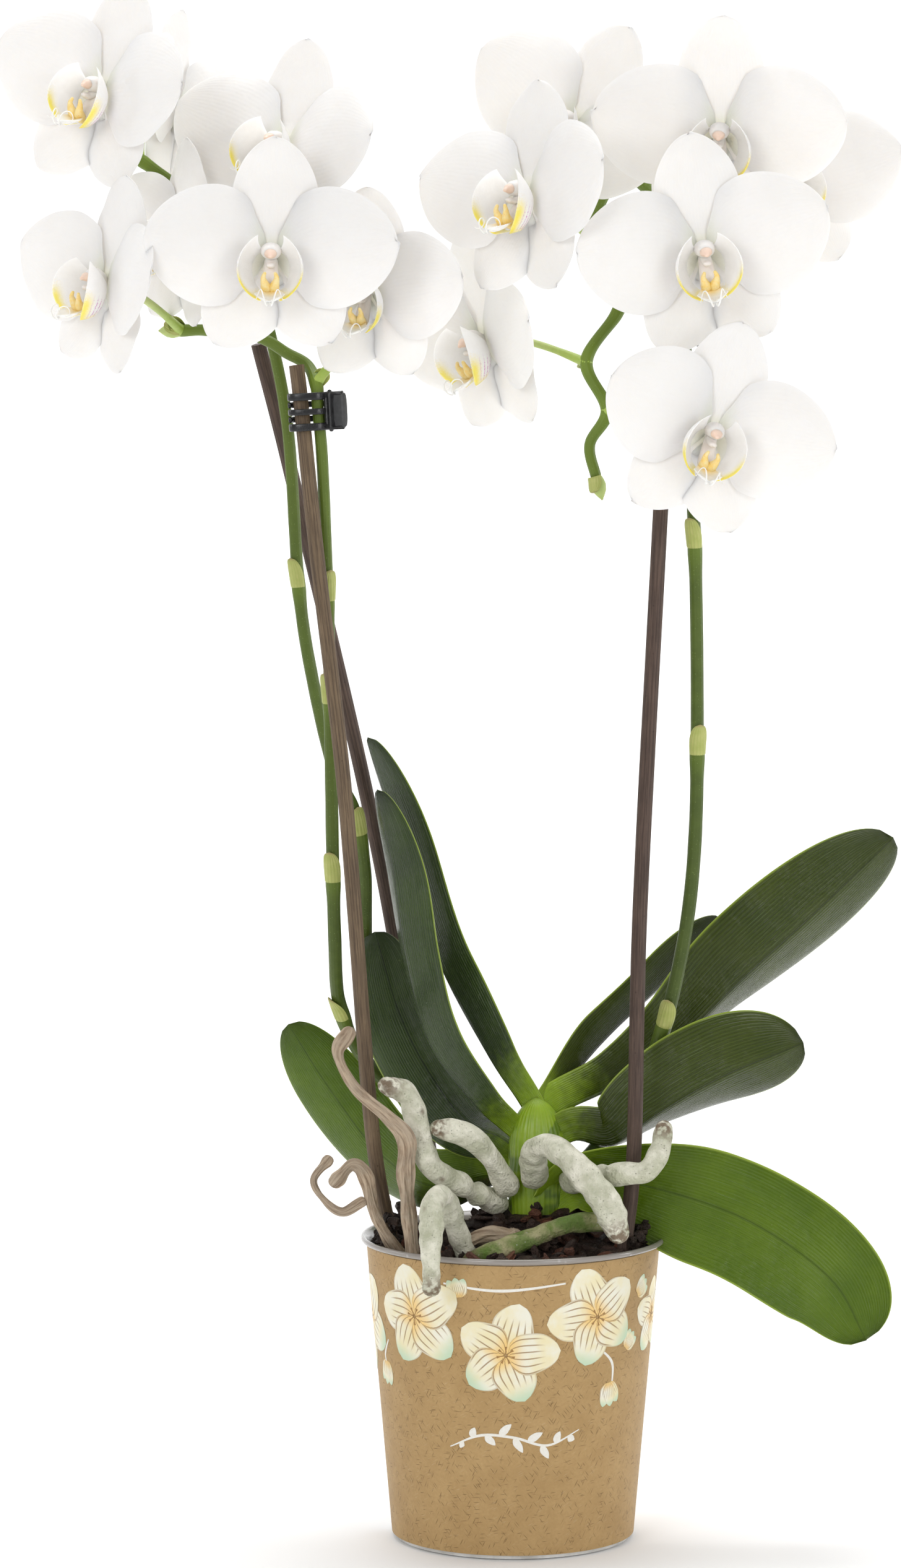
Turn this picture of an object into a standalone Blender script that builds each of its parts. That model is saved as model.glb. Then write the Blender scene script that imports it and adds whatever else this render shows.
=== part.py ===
"""Potted moth orchid with three flower spikes.

A small multi-flowered orchid stands in a tapered plastic pot of 90 mm with a
printed kraft sleeve.  Eight strap leaves grow in two ranks from a short stem,
three spikes carry fourteen white flowers, three sticks hold the spikes up and
two hinged claw clips tie a spike to a stick.  Lengths in the tables are in
millimetres; the origin is the centre of the pot's underside, +Z is up and the
plant is seen from -Y.
"""

import math

import bmesh
import bpy
import numpy as np
from mathutils import Matrix, Vector

MM = 0.001

# ---------------------------------------------------------------- dimensions
GAP = 0.35                 # clearance between pieces that touch
FIT = 0.1                  # further play behind a flower's hub

POT_HEIGHT = 90.0
POT_RIM_RADIUS = 45.0
POT_TOP_RADIUS = POT_RIM_RADIUS - 2.6    # outside of the wall just under the rim
POT_BASE_RADIUS = POT_RIM_RADIUS - 10.0
POT_WALL = 1.3
POT_FLOOR = 2.0
RIM_DEPTH = 3.2
POT_SIDES = 40

LABEL_THICK = 0.5
LABEL_BOTTOM = 3.0         # above the pot's underside
LABEL_TOP_DROP = 4.5       # below the rim's upper face
LABEL_OPEN_ANGLE = 24.0    # clear strip left at the side, degrees
LABEL_OPEN_AT = 188.0

MEDIUM_DROP = 7.0          # level of the bark below the rim
MEDIUM_SIDES = 26

CROWN_CENTRE = (7.0, 0.0)
CROWN_WIDTH = 12.0         # half sizes of the short stem
CROWN_DEPTH = 8.0
CROWN_FOOT = POT_HEIGHT - MEDIUM_DROP + 2.2
CROWN_TOP = POT_HEIGHT + 41.0
CROWN_PROFILE = [(0.80, CROWN_FOOT), (0.98, CROWN_FOOT + 7), (1.0, CROWN_FOOT + 15),
                 (0.95, CROWN_FOOT + 24), (0.75, CROWN_FOOT + 33),
                 (0.50, CROWN_FOOT + 40), (0.2, CROWN_TOP)]

LEAF_THICK = 2.2
STICK_RADIUS = 2.2
SPIKE_RADIUS = 2.15
STEM_SPACING = SPIKE_RADIUS + STICK_RADIUS + GAP    # spike to stick where they are clipped
PEDICEL_RADIUS = 1.15

FLOWER_SPAN = 72.0         # across the two petals
TEPAL_THICK = 0.9
HUB_RADIUS = 2.5
HUB_BACK = 2.2             # how far the hub reaches behind the tepals
PETAL_LENGTH = 34.5
PETAL_HALF = 16.0
SEPAL_LENGTH = 31.0
SEPAL_HALF = 11.0
LATERAL_LENGTH = 27.0
LATERAL_HALF = 10.0

CLIP_HEIGHT = 11.0
CLIP_THICK = 1.0
CLIP_PIN = 0.7
CLIP_OFFSET = 3.7          # pin's distance from the spike's middle
CLIP_TAB = 5.6

# Leaves: name, midrib points, half width, turn of the blade at foot and tip in
# degrees (0 faces -Y), how far the halves fold back from the midrib and the
# share of its length over which the foot widens.
LEAVES = [
    ("leaf_left_low", [(-6, 6, 107), (-24, 18, 102), (-40, 25, 111), (-55, 28, 130),
                       (-67, 27, 149)], 12.5, 35, 12, 12, 0.40),
    ("leaf_left_broad", [(-4, 4, 118), (-14, 8, 122), (-25, 13, 136), (-34, 15, 154),
                         (-41, 16, 178)], 12.0, -28, -12, 16, 0.45),
    ("leaf_left_inner", [(-3, -1, 122), (-11, -4, 130), (-24, -5, 148), (-31, -3, 173),
                         (-35, -1, 199), (-40, -1, 222)], 11.0, 66, 54, 20, 0.40),
    ("leaf_left_tall", [(2, 3, 130), (-7, 9, 143), (-22, 16, 171), (-34, 18, 208),
                        (-43, 16, 236)], 12.5, 70, 66, 20, 0.40),
    ("leaf_right_back", [(12, 4, 130), (26, 17, 145), (46, 27, 163), (63, 32, 180)],
     10.5, -70, -52, 20, 0.40),
    ("leaf_right_high", [(15, 2, 127), (31, 9, 134), (50, 15, 147), (67, 18, 163),
                         (89, 19, 183), (113, 18, 206)], 17.5, -60, -12, 26, 0.62),
    ("leaf_right_mid", [(18, -2, 119), (29, -4, 118), (42, -5, 127), (61, -6, 138),
                        (85, -7, 148)], 17.5, -55, -12, 26, 0.62),
    ("leaf_right_hanging", [(19, -4, 107.8), (41, -7.6, 105.4), (69, -11, 96), (93, -12, 79),
                            (104, -9, 60)], 18.5, -15, -8, -8, 0.45),
]

# Spikes: name and the points of the stem from foot to tip.
SPIKES = {
    "spike_left_front": [(-3, 9, 115), (-25, 23, 122), (-43, 20, 138), (-51, 8, 156),
                         (-52.5, -5, 180), (-53.5, -9, 240), (-54, -11, 272),
                         (-55.5, -13, 316), (-56.9, -14, 334), (-57.2, -13.6, 340),
                         (-60, -8, 346), (-66, -7.5, 349.5), (-74, -8, 354), (-88, 2, 356), (-98, 6, 356)],
    "spike_left_back": [(1, 9, 118), (-20, 25, 133), (-34, 25, 152), (-43, 23, 168),
                        (-44, 18, 196), (-47, 14, 214), (-53, 12, 227), (-59, 9, 253),
                        (-63, 7, 280), (-66, 6, 326), (-71, 5, 354), (-77, 7, 373),
                        (-84, 8, 386), (-97, 6, 397), (-111, 4, 407)],
    "spike_right": [(18, 5, 108), (28, 7, 119), (37, 4, 133), (43, 0, 148), (47, -4, 163),
                    (51, -6, 185), (53, -8, 209), (53.4, -10, 240), (52.7, -12, 284),
                    (51, -15, 320), (48.8, -16, 358), (46, -10, 380), (43, 2, 392),
                    (34, 14, 401), (26, 14, 395), (24, 8, 382), (31, 2, 368),
                    (30, 0, 361), (21, -4, 347), (27, -6, 333), (22, -6, 323),
                    (24, -6, 313)],
}

# Flowers: number, middle of the flower, facing as turn / lift / roll in
# degrees, size beside FLOWER_SPAN, forward lean of the petals, the spike it
# grows on and the height of the stem point where its stalk leaves.
FLOWERS = [
    (1, (-119, -18, 424), (-32, 14, 12), 0.98, 18, "spike_left_back", (-111, 4, 407)),
    (2, (-99, 29, 420), (69, 5, 13), 0.93, 16, "spike_left_back", (-109, 4.3, 406)),
    (3, (-67, -15.5, 408), (-32, 20, 8), 1.00, 17, "spike_left_back", (-86, 8, 388)),
    (4, (-69, -50, 377), (0, 0, 1), 1.00, 14, "spike_left_front", (-83, -3, 356)),
    (5, (-117.2, -31.5, 369.7), (-50, 9, 10), 0.93, 18, "spike_left_front", (-98, 3, 357)),
    (6, (-97, -8.7, 382), (-54, 4, 8), 0.88, 15, "spike_left_front", (-88, 0, 357)),
    (7, (-42, -26, 367), (-24, -2, 2), 0.90, 14, "spike_left_front", (-58, -12, 340)),
    (8, (-9, 6, 353), (-54, -10, -6), 0.98, 16, "spike_right", (21, -4, 347)),
    (9, (3, -38, 394), (-44, 12, -2), 1.00, 16, "spike_right", (24, 6, 382)),
    (10, (16.4, 4.2, 415.3), (-29, 12, 29), 1.00, 14, "spike_right", (26, 13, 396)),
    (11, (58.5, -26, 412), (-6, -10, 2), 1.02, 14, "spike_right", (30, 14, 401)),
    (12, (53, -45, 378), (4, -4, -8), 1.02, 14, "spike_right", (31, 1, 363)),
    (13, (80, 14, 400), (12, 2, -2), 0.96, 14, "spike_right", (38, 9, 398)),
    (14, (55, -50, 327), (10, -4, 16), 0.98, 16, "spike_right", (27, -6, 333)),
]

# Sticks: name and the points of the straight or slightly bowed cane.
STICKS = {
    "stick_dark_left": [(-16, 31.5, 62), (-21.5, 31.5, 90), (-40, 32, 200), (-64, 21, 307),
                        (-75, 15, 352)],
    "stick_tan": [(-33.5, -7, 62), (-36.2, -9, 90), (-41.7, -14, 126), (-49, -19, 221),
                  (-57.2, -17, 292), (-61.6, -14, 334), (-63, -13, 346)],
    "stick_dark_right": [(30, -16.5, 62), (32.5, -18, 90), (35, -20, 118),
                         (36.5, -20.5, 188), (41.6, -18, 292), (44.0, -16.1, 340), (44.1, -16, 358),
                         (44.2, -15.9, 364)],
}

# Thick grey roots and thin dry ones: points with a radius at foot and tip.
ROOTS = [
    ("root_front", [(6, -9.5, 109), (6, -18, 117), (11, -25, 120), (19, -31, 114),
                    (26, -32.5, 105), (30, -33, 96)], 4.0, 4.3),
    ("root_right", [(17, -8, 107), (24, -18, 110), (31, -26, 112), (38, -27, 113),
                    (42, -26, 118), (43.5, -25, 125)], 3.5, 3.2),
    ("root_upright", [(-2, -8, 106), (-8, -17, 117), (-14, -22, 123),
                      (-22, -24, 125)], 3.6, 3.2),
    ("root_left", [(-5, -4, 100), (-17, -17, 108), (-25, -22, 115), (-28, -24, 126),
                   (-31, -25, 135), (-37, -27, 138)], 3.4, 3.4),
    ("root_over_rim", [(-14, -23, 87.4), (-20, -31, 105), (-23.5, -41, 106),
                       (-24, -49.5, 96), (-24, -50, 83)], 3.3, 3.0),
    ("root_mossy", [(29, -21, 86.6), (16, -24, 88), (4, -26, 87.3), (-5, -27, 86.6),
                    (-13, -28, 86)], 3.0, 2.8),
    ("dry_root_tall", [(-29, -22, 83.0), (-31.5, -26, 111), (-31.5, -31, 123),
                       (-37, -33, 130), (-46, -33, 138), (-51, -32, 148),
                       (-48, -32, 154)], 2.2, 1.8),
    ("dry_root_outer", [(-44.2, -20.5, 103), (-50, -21, 100), (-55, -20, 103),
                        (-58.5, -19, 109), (-54, -18, 115)], 1.2, 0.9),
    ("dry_root_curl", [(-33, -15.5, 85.5), (-40, -19, 98), (-43, -20, 110),
                       (-47, -21, 114), (-52, -21, 109)], 1.9, 1.5),
    ("bark_chip_top", [(-15, -17, 84.6), (-9, -18, 85.4), (-2, -18, 85)], 1.9, 1.6),
]

# The plant stands on the bark, so it rises with the pot, and the feet of the
# sticks and roots keep their share of the pot's radius.  The sticks move with
# the stems' radii, so that spike and stick stay side by side in a clip.
RAISE = POT_HEIGHT - 90.0
SPREAD = POT_RIM_RADIUS / 45.0
STICK_SHIFT = 4.7 - STEM_SPACING
CLIP_PLACES = {"clip_left": ((-53.2, -14.2, 333), -3), "clip_right": ((52.6, -16, 357.5), -2)}


# ------------------------------------------------------------------- helpers
def raised(points):
    """The points moved up with the pot's height."""
    return [(x, y, z + RAISE) for x, y, z in points]


def potted(points, shift=0.0):
    """The points moved up, and out with the pot's radius where they are low."""
    moved = []
    for x, y, z in points:
        wide = 1.0 + (SPREAD - 1.0) * min(1.0, max(0.0, (150.0 - z) / 50.0))
        moved.append((x * wide + shift, y * wide, z + RAISE))
    return moved


def make_material(name, colour, roughness, metallic=0.0):
    """Give back a Principled material of one plain colour."""
    material = bpy.data.materials.new(name)
    material.use_nodes = True
    shader = material.node_tree.nodes["Principled BSDF"]
    shader.inputs["Base Color"].default_value = (*colour, 1.0)
    shader.inputs["Roughness"].default_value = roughness
    shader.inputs["Metallic"].default_value = metallic
    material.diffuse_color = (*colour, 1.0)
    return material


def make_mesh(name, points, faces, sharp=50.0):
    """Make a closed mesh from points in millimetres, faces turned outward."""
    mesh = bpy.data.meshes.new(name)
    mesh.from_pydata([tuple(MM * c for c in p) for p in points], [], faces)
    work = bmesh.new()
    work.from_mesh(mesh)
    bmesh.ops.recalc_face_normals(work, faces=work.faces)
    bmesh.ops.triangulate(work, faces=[f for f in work.faces if len(f.verts) > 3])
    work.to_mesh(mesh)
    work.free()
    mesh.shade_smooth()
    mesh.set_sharp_from_angle(angle=math.radians(sharp))
    return mesh


def add_object(name, mesh, material):
    """Put a mesh into the scene as one named piece."""
    item = bpy.data.objects.new(name, mesh)
    bpy.context.collection.objects.link(item)
    if not mesh.materials:
        mesh.materials.append(material)
    return item


def join_solids(name, meshes):
    """Unite closed meshes that run into each other and give back one mesh."""
    base = bpy.data.objects.new(name, meshes[0])
    bpy.context.collection.objects.link(base)
    helpers = []
    for number, mesh in enumerate(meshes[1:]):
        helper = bpy.data.objects.new(name + "_helper_%d" % number, mesh)
        bpy.context.collection.objects.link(helper)
        helpers.append(helper)
        union = base.modifiers.new("join_%d" % number, "BOOLEAN")
        union.operation = "UNION"
        union.object = helper
    graph = bpy.context.evaluated_depsgraph_get()
    joined = bpy.data.meshes.new_from_object(base.evaluated_get(graph))
    joined.name = name
    for helper in helpers + [base]:
        bpy.data.objects.remove(helper, do_unlink=True)
    return joined


def smooth_path(points, count):
    """Resample a polyline as a Catmull-Rom curve with evenly spaced points."""
    p = np.array(points, float)
    ends = [2 * p[0] - p[1]] + list(p) + [2 * p[-1] - p[-2]]
    dense = []
    for i in range(len(p) - 1):
        a, b, c, d = ends[i:i + 4]
        for t in np.linspace(0, 1, 24, endpoint=False):
            dense.append(0.5 * (2 * b + (c - a) * t + (2 * a - 5 * b + 4 * c - d) * t ** 2
                                + (3 * b - a - 3 * c + d) * t ** 3))
    dense.append(p[-1])
    dense = np.array(dense)
    run = np.r_[0, np.cumsum(np.linalg.norm(np.diff(dense, axis=0), axis=1))]
    steps = np.linspace(0, run[-1], count)
    return np.stack([np.interp(steps, run, dense[:, k]) for k in range(3)], 1)


def tangents(path):
    """Unit directions along a path."""
    step = np.gradient(path, axis=0)
    return step / np.linalg.norm(step, axis=1)[:, None]


def side_frame(path, start=(0.0, -1.0, 0.0)):
    """Two directions across a path at each point, carried on without twist."""
    along = tangents(path)
    side = np.array(start, float)
    rows = []
    for t in along:
        side = side - t * side.dot(t)
        side = side / np.linalg.norm(side)
        rows.append((side.copy(), np.cross(t, side)))
    return rows


def tube(path, radii, sides):
    """Closed round tube along a path: its points and faces."""
    points = []
    for centre, radius, (a, b) in zip(path, radii, side_frame(path)):
        for k in range(sides):
            turn = 2 * math.pi * k / sides
            points.append(centre + radius * (math.cos(turn) * a + math.sin(turn) * b))
    faces = []
    for i in range(len(path) - 1):
        for k in range(sides):
            n = (k + 1) % sides
            faces.append((i * sides + k, i * sides + n,
                          (i + 1) * sides + n, (i + 1) * sides + k))
    last = (len(path) - 1) * sides
    faces.append(tuple(reversed(range(sides))))
    faces.append(tuple(last + k for k in range(sides)))
    return points, faces


def lathe(profile, sides, start=0.0, sweep=360.0):
    """Turn a closed profile of (radius, height) about Z, fully or part way."""
    full = sweep > 359.9
    steps = sides if full else sides + 1
    points = []
    for i in range(steps):
        turn = math.radians(start + sweep * i / sides)
        for radius, height in profile:
            points.append((radius * math.cos(turn), radius * math.sin(turn), height))
    n = len(profile)
    faces = []
    for i in range(sides):
        j = (i + 1) % steps
        for k in range(n):
            m = (k + 1) % n
            faces.append((i * n + k, j * n + k, j * n + m, i * n + m))
    if not full:
        faces.append(tuple(range(n)))
        faces.append(tuple(reversed([sides * n + k for k in range(n)])))
    return points, faces


def capped_lathe(profile, sides):
    """Turn an open profile that starts and ends near the axis, and cap it."""
    points = []
    for radius, height in profile:
        for k in range(sides):
            turn = 2 * math.pi * k / sides
            points.append((radius * math.cos(turn), radius * math.sin(turn), height))
    faces = []
    for i in range(len(profile) - 1):
        for k in range(sides):
            n = (k + 1) % sides
            faces.append((i * sides + k, i * sides + n,
                          (i + 1) * sides + n, (i + 1) * sides + k))
    last = (len(profile) - 1) * sides
    faces.append(tuple(reversed(range(sides))))
    faces.append(tuple(last + k for k in range(sides)))
    return points, faces


def thick_sheet(front, back):
    """Close two facing grids of points into one solid blade."""
    rows, cols = front.shape[:2]
    points = [tuple(p) for p in front.reshape(-1, 3)] + [tuple(p) for p in back.reshape(-1, 3)]
    half = rows * cols
    faces = []
    for i in range(rows - 1):
        for j in range(cols - 1):
            a = i * cols + j
            faces.append((a, a + 1, a + cols + 1, a + cols))
            faces.append((half + a, half + a + cols, half + a + cols + 1, half + a + 1))
    for i in range(rows - 1):
        for j in (0, cols - 1):
            a = i * cols + j
            faces.append((a, a + cols, half + a + cols, half + a))
    for j in range(cols - 1):
        for i in (0, rows - 1):
            a = i * cols + j
            faces.append((a, a + 1, half + a + 1, half + a))
    return points, faces


def flower_matrix(place, facing, size):
    """Matrix of a flower: X to its right, Y up, Z the way it faces."""
    turn, lift, roll = (math.radians(v) for v in facing)
    stand = Matrix(((1, 0, 0), (0, 0, -1), (0, 1, 0))).to_4x4()
    return (Matrix.Translation(Vector(place) * MM) @ Matrix.Rotation(turn, 4, "Z") @ stand
            @ Matrix.Rotation(-lift, 4, "X") @ Matrix.Rotation(-roll, 4, "Z")
            @ Matrix.Scale(size, 4))


# -------------------------------------------------------------------- pieces
def build_pot(material):
    """Tapered shell with an outward lip and a closed floor."""
    lip = POT_RIM_RADIUS
    top = POT_HEIGHT
    under = top - RIM_DEPTH
    inner_top = POT_TOP_RADIUS - POT_WALL
    inner_base = POT_BASE_RADIUS - POT_WALL
    profile = [(POT_BASE_RADIUS - 1.5, 0.0), (POT_BASE_RADIUS, 1.5),
               (POT_TOP_RADIUS, under), (lip, under), (lip, top),
               (lip - 1.6, top), (inner_top, top - 1.4), (inner_base, POT_FLOOR + 1.0),
               (inner_base - 1.5, POT_FLOOR)]
    points, faces = capped_lathe(profile, POT_SIDES)
    return add_object("pot", make_mesh("pot", points, faces, 40), material)


def wall_radius(height, outside=True):
    """Radius of the pot's wall at a height."""
    under = POT_HEIGHT - RIM_DEPTH
    share = (height - 1.5) / (under - 1.5)
    radius = POT_BASE_RADIUS + (POT_TOP_RADIUS - POT_BASE_RADIUS) * share
    return radius if outside else radius - POT_WALL


def build_label(material):
    """Printed sleeve round the wall, open over a narrow strip at one side."""
    low = LABEL_BOTTOM
    high = POT_HEIGHT - LABEL_TOP_DROP
    a = wall_radius(low) + GAP
    b = wall_radius(high) + GAP
    profile = [(a, low), (a + LABEL_THICK, low), (b + LABEL_THICK, high), (b, high)]
    start = LABEL_OPEN_AT + LABEL_OPEN_ANGLE / 2
    points, faces = lathe(profile, POT_SIDES, start, 360 - LABEL_OPEN_ANGLE)
    return add_object("label_sleeve", make_mesh("label_sleeve", points, faces, 40), material)


def build_medium(material):
    """Bark filling with an uneven top, pierced by the three sticks."""
    level = POT_HEIGHT - MEDIUM_DROP
    low = POT_FLOOR + 1.2 + GAP
    rings = [(0.97, low)] + [(1.0, z) for z in (18.0, 50.0)] + [(1.0, level - 3.0)]
    points = []
    for share, height in rings:
        radius = (wall_radius(height, False) - GAP - 0.2) * share
        for k in range(MEDIUM_SIDES):
            turn = 2 * math.pi * k / MEDIUM_SIDES
            points.append((radius * math.cos(turn), radius * math.sin(turn), height))
    inner = wall_radius(level, False) - GAP - 0.2
    for share in (0.95, 0.72, 0.45, 0.2):
        for k in range(MEDIUM_SIDES):
            turn = 2 * math.pi * k / MEDIUM_SIDES
            bump = 1.1 * math.sin(3.0 * turn + 9.0 * share) * math.sin(5.0 * turn - 4.0 * share)
            points.append((inner * share * math.cos(turn), inner * share * math.sin(turn),
                           level + bump - 1.2 + 1.6 * (1 - share)))
    faces = []
    rows = len(points) // MEDIUM_SIDES
    for i in range(rows - 1):
        for k in range(MEDIUM_SIDES):
            n = (k + 1) % MEDIUM_SIDES
            faces.append((i * MEDIUM_SIDES + k, i * MEDIUM_SIDES + n,
                          (i + 1) * MEDIUM_SIDES + n, (i + 1) * MEDIUM_SIDES + k))
    faces.append(tuple(reversed(range(MEDIUM_SIDES))))
    last = (rows - 1) * MEDIUM_SIDES
    faces.append(tuple(last + k for k in range(MEDIUM_SIDES)))
    item = add_object("growing_medium", make_mesh("growing_medium", points, faces, 60),
                      material)
    for name, path in STICKS.items():
        hole = smooth_path(potted(path, STICK_SHIFT), 7)
        below = hole[0] - (hole[1] - hole[0]) * 0.02
        points, faces = tube(np.vstack([[below], hole[1:3]]),
                             [STICK_RADIUS + GAP] * 3, 10)
        cutter = add_object("hole_" + name, make_mesh("hole_" + name, points, faces),
                            material)
        cutter.hide_render = True
        cutter.display_type = "WIRE"
        cut = item.modifiers.new("hole_" + name, "BOOLEAN")
        cut.operation = "DIFFERENCE"
        cut.object = cutter
    return item


def build_crown(material):
    """Short stem wrapped in leaf sheaths, flat between the two leaf ranks."""
    profile = CROWN_PROFILE
    sides = 16
    points = []
    for share, height in profile:
        for k in range(sides):
            turn = 2 * math.pi * k / sides
            points.append((CROWN_CENTRE[0] + CROWN_WIDTH * share * math.cos(turn),
                           CROWN_CENTRE[1] + CROWN_DEPTH * share * math.sin(turn), height))
    faces = []
    for i in range(len(profile) - 1):
        for k in range(sides):
            n = (k + 1) % sides
            faces.append((i * sides + k, i * sides + n,
                          (i + 1) * sides + n, (i + 1) * sides + k))
    faces.append(tuple(reversed(range(sides))))
    last = (len(profile) - 1) * sides
    faces.append(tuple(last + k for k in range(sides)))
    return add_object("stem_crown", make_mesh("stem_crown", points, faces, 60), material)


def leaf_width(share, rise):
    """Part of the full width at a share of the length: narrow foot, round tip."""
    grow = min(1.0, share / rise)
    grow = grow * grow * (3 - 2 * grow)
    end = max(0.0, (share - 0.66) / 0.35)
    return (0.17 + 0.83 * grow) * math.sqrt(max(0.03, 1 - end ** 2.2))


def crown_clearance(points):
    """Least distance, roughly, of points from the crown's sheathed stem."""
    least = 1e9
    for x, y, z in points:
        share = np.interp(z, [h for _, h in CROWN_PROFILE], [r for r, _ in CROWN_PROFILE],
                          right=0.0)
        if z > CROWN_TOP + 0.5:
            continue
        a = max(0.5, CROWN_WIDTH * share)
        b = max(0.5, CROWN_DEPTH * share)
        off = math.hypot((x - CROWN_CENTRE[0]) / a, (y - CROWN_CENTRE[1]) / b)
        least = min(least, (off - 1.0) * min(a, b))
    return least


def seat_foot(points, shape):
    """Slide a piece's first point away from the crown until the piece clears it."""
    points = [np.array(p, float) for p in points]
    out = points[0] - np.array([*CROWN_CENTRE, points[0][2]])
    out[2] = 0.0
    out = out / np.linalg.norm(out)
    if crown_clearance([points[0]]) < CROWN_DEPTH:
        points[0] = points[0] - 2.5 * out
    for _ in range(120):
        built = shape(points)
        if crown_clearance(built[0]) >= GAP:
            break
        points[0] = points[0] + 0.1 * out
    return built


def leaf_solid(midrib, half, turn_foot, turn_tip, fold, rise):
    """Strap leaf: a thick blade folded along its midrib, widest past the middle."""
    rows = 10
    path = smooth_path(midrib, rows)
    along = tangents(path)
    across = np.array([-1.0, -0.5, 0.0, 0.5, 1.0])
    front = np.zeros((rows, 5, 3))
    back = np.zeros((rows, 5, 3))
    for i, (centre, t) in enumerate(zip(path, along)):
        share = i / (rows - 1)
        normal = np.array([0.0, -1.0, 0.0])
        normal = normal - t * normal.dot(t)
        normal = normal / np.linalg.norm(normal)
        side = np.cross(normal, t)
        turn = math.radians(turn_foot + (turn_tip - turn_foot) * share)
        normal, side = (math.cos(turn) * normal + math.sin(turn) * side,
                        math.cos(turn) * side - math.sin(turn) * normal)
        width = half * leaf_width(share, rise)
        bend = math.radians(fold)
        thick = LEAF_THICK * (1.0 - 0.45 * share)
        for j, w in enumerate(across):
            point = centre + side * (w * width * math.cos(bend)) \
                - normal * (abs(w) * width * math.sin(bend))
            edge = 0.5 * thick * (1.0 - 0.55 * abs(w))
            front[i, j] = point + normal * edge
            back[i, j] = point - normal * edge
    return thick_sheet(front, back)


def build_leaf(name, midrib, half, turn_foot, turn_tip, fold, rise, material):
    """One leaf, its foot seated on the crown."""
    points, faces = seat_foot(
        midrib, lambda line: leaf_solid(line, half, turn_foot, turn_tip, fold, rise))
    return add_object(name, make_mesh(name, points, faces, 70), material)


def tepal_plan(lean):
    """The five tepals: direction, length, half width, lean and set-back."""
    return [
        (90.0, SEPAL_LENGTH, SEPAL_HALF, 7.0, -1.9, 0.9),
        (170.0, PETAL_LENGTH, PETAL_HALF, lean, 0.0, 0.8),
        (240.0, LATERAL_LENGTH, LATERAL_HALF, 3.0, -1.9, 0.9),
        (300.0, LATERAL_LENGTH, LATERAL_HALF, 3.0, -1.9, 0.9),
        (10.0, PETAL_LENGTH, PETAL_HALF, lean, 0.0, 0.8),
    ]


def flower_mesh(name, lean):
    """Five tepals grown round a small hub as one closed sheet."""
    rows = 7
    foot = 1.05
    front_ring = []
    back_ring = []
    front_grids = []
    back_grids = []
    for angle, length, half, tilt, back_set, skew in tepal_plan(lean):
        a = math.radians(angle)
        out = np.array([math.cos(a), math.sin(a), 0.0])
        side = np.array([-math.sin(a), math.cos(a), 0.0])
        rise = math.tan(math.radians(tilt))
        front = np.zeros((rows, 3, 3))
        back = np.zeros((rows, 3, 3))
        for i in range(rows):
            s = (i / (rows - 1)) ** 0.9
            settle = min(1.0, s / 0.19)
            body = math.sin(math.pi * min(s, 0.985) ** skew) ** 0.62
            width = foot * (1 - s) + half * body if i else foot
            for j, w in enumerate((-1.0, 0.0, 1.0)):
                lift = rise * length * s + back_set * settle - 0.07 * abs(w) * width * settle
                point = out * (HUB_RADIUS + length * s * math.cos(math.radians(tilt))) \
                    + side * (w * width) + np.array([0, 0, lift])
                front[i, j] = point + np.array([0, 0, TEPAL_THICK / 2])
                back[i, j] = point - np.array([0, 0, TEPAL_THICK / 2])
        front_grids.append(front)
        back_grids.append(back)
    points = []
    faces = []
    starts = []
    for front, back in zip(front_grids, back_grids):
        starts.append(len(points))
        points += [tuple(p) for p in front.reshape(-1, 3)]
        points += [tuple(p) for p in back.reshape(-1, 3)]
    size = rows * 3
    for start in starts:
        for i in range(rows - 1):
            for j in range(2):
                a = start + i * 3 + j
                faces.append((a, a + 1, a + 4, a + 3))
                b = a + size
                faces.append((b, b + 3, b + 4, b + 1))
            for j in (0, 2):
                a = start + i * 3 + j
                faces.append((a, a + 3, a + 3 + size, a + size))
        for j in range(2):
            a = start + (rows - 1) * 3 + j
            faces.append((a, a + 1, a + 1 + size, a + size))
    ring_front = []
    ring_back = []
    for start in starts:
        for j in range(3):
            ring_front.append(start + j)
            ring_back.append(start + size + j)
    front_tip = len(points)
    points.append((0, 0, 0.8))
    back_tip = len(points)
    points.append((0, 0, -HUB_BACK))
    count = len(ring_front)
    for k in range(count):
        n = (k + 1) % count
        faces.append((ring_front[k], ring_front[n], front_tip))
        faces.append((ring_back[n], ring_back[k], back_tip))
        if k % 3 == 2:
            faces.append((ring_front[k], ring_front[n], ring_back[n], ring_back[k]))
    return make_mesh(name, points, faces, 60)


def lobe(sign):
    """One side lobe of the lip: a cupped wing that rises beside the column."""
    front = np.zeros((4, 3, 3))
    back = np.zeros((4, 3, 3))
    for i in range(4):
        s = i / 3
        for j, w in enumerate((-1.0, 0.0, 1.0)):
            width = (2.2, 5.2, 5.6, 2.6)[i]
            turn = math.radians(-20 + 85 * s)
            x = 1.0 + 8.5 * s * math.cos(math.radians(20 * s))
            y = -9.0 + 6.5 * s ** 1.6 + w * width * 0.75
            z = 6.6 + 3.6 * math.sin(math.pi * 0.6 * s) + w * width * -0.45
            out = np.array([-math.sin(turn), 0.0, math.cos(turn)])
            point = np.array([x, y, z])
            front[i, j] = point + out * 0.5
            back[i, j] = point - out * 0.5
    front[:, :, 0] *= sign
    back[:, :, 0] *= sign
    return thick_sheet(front, back)


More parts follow.
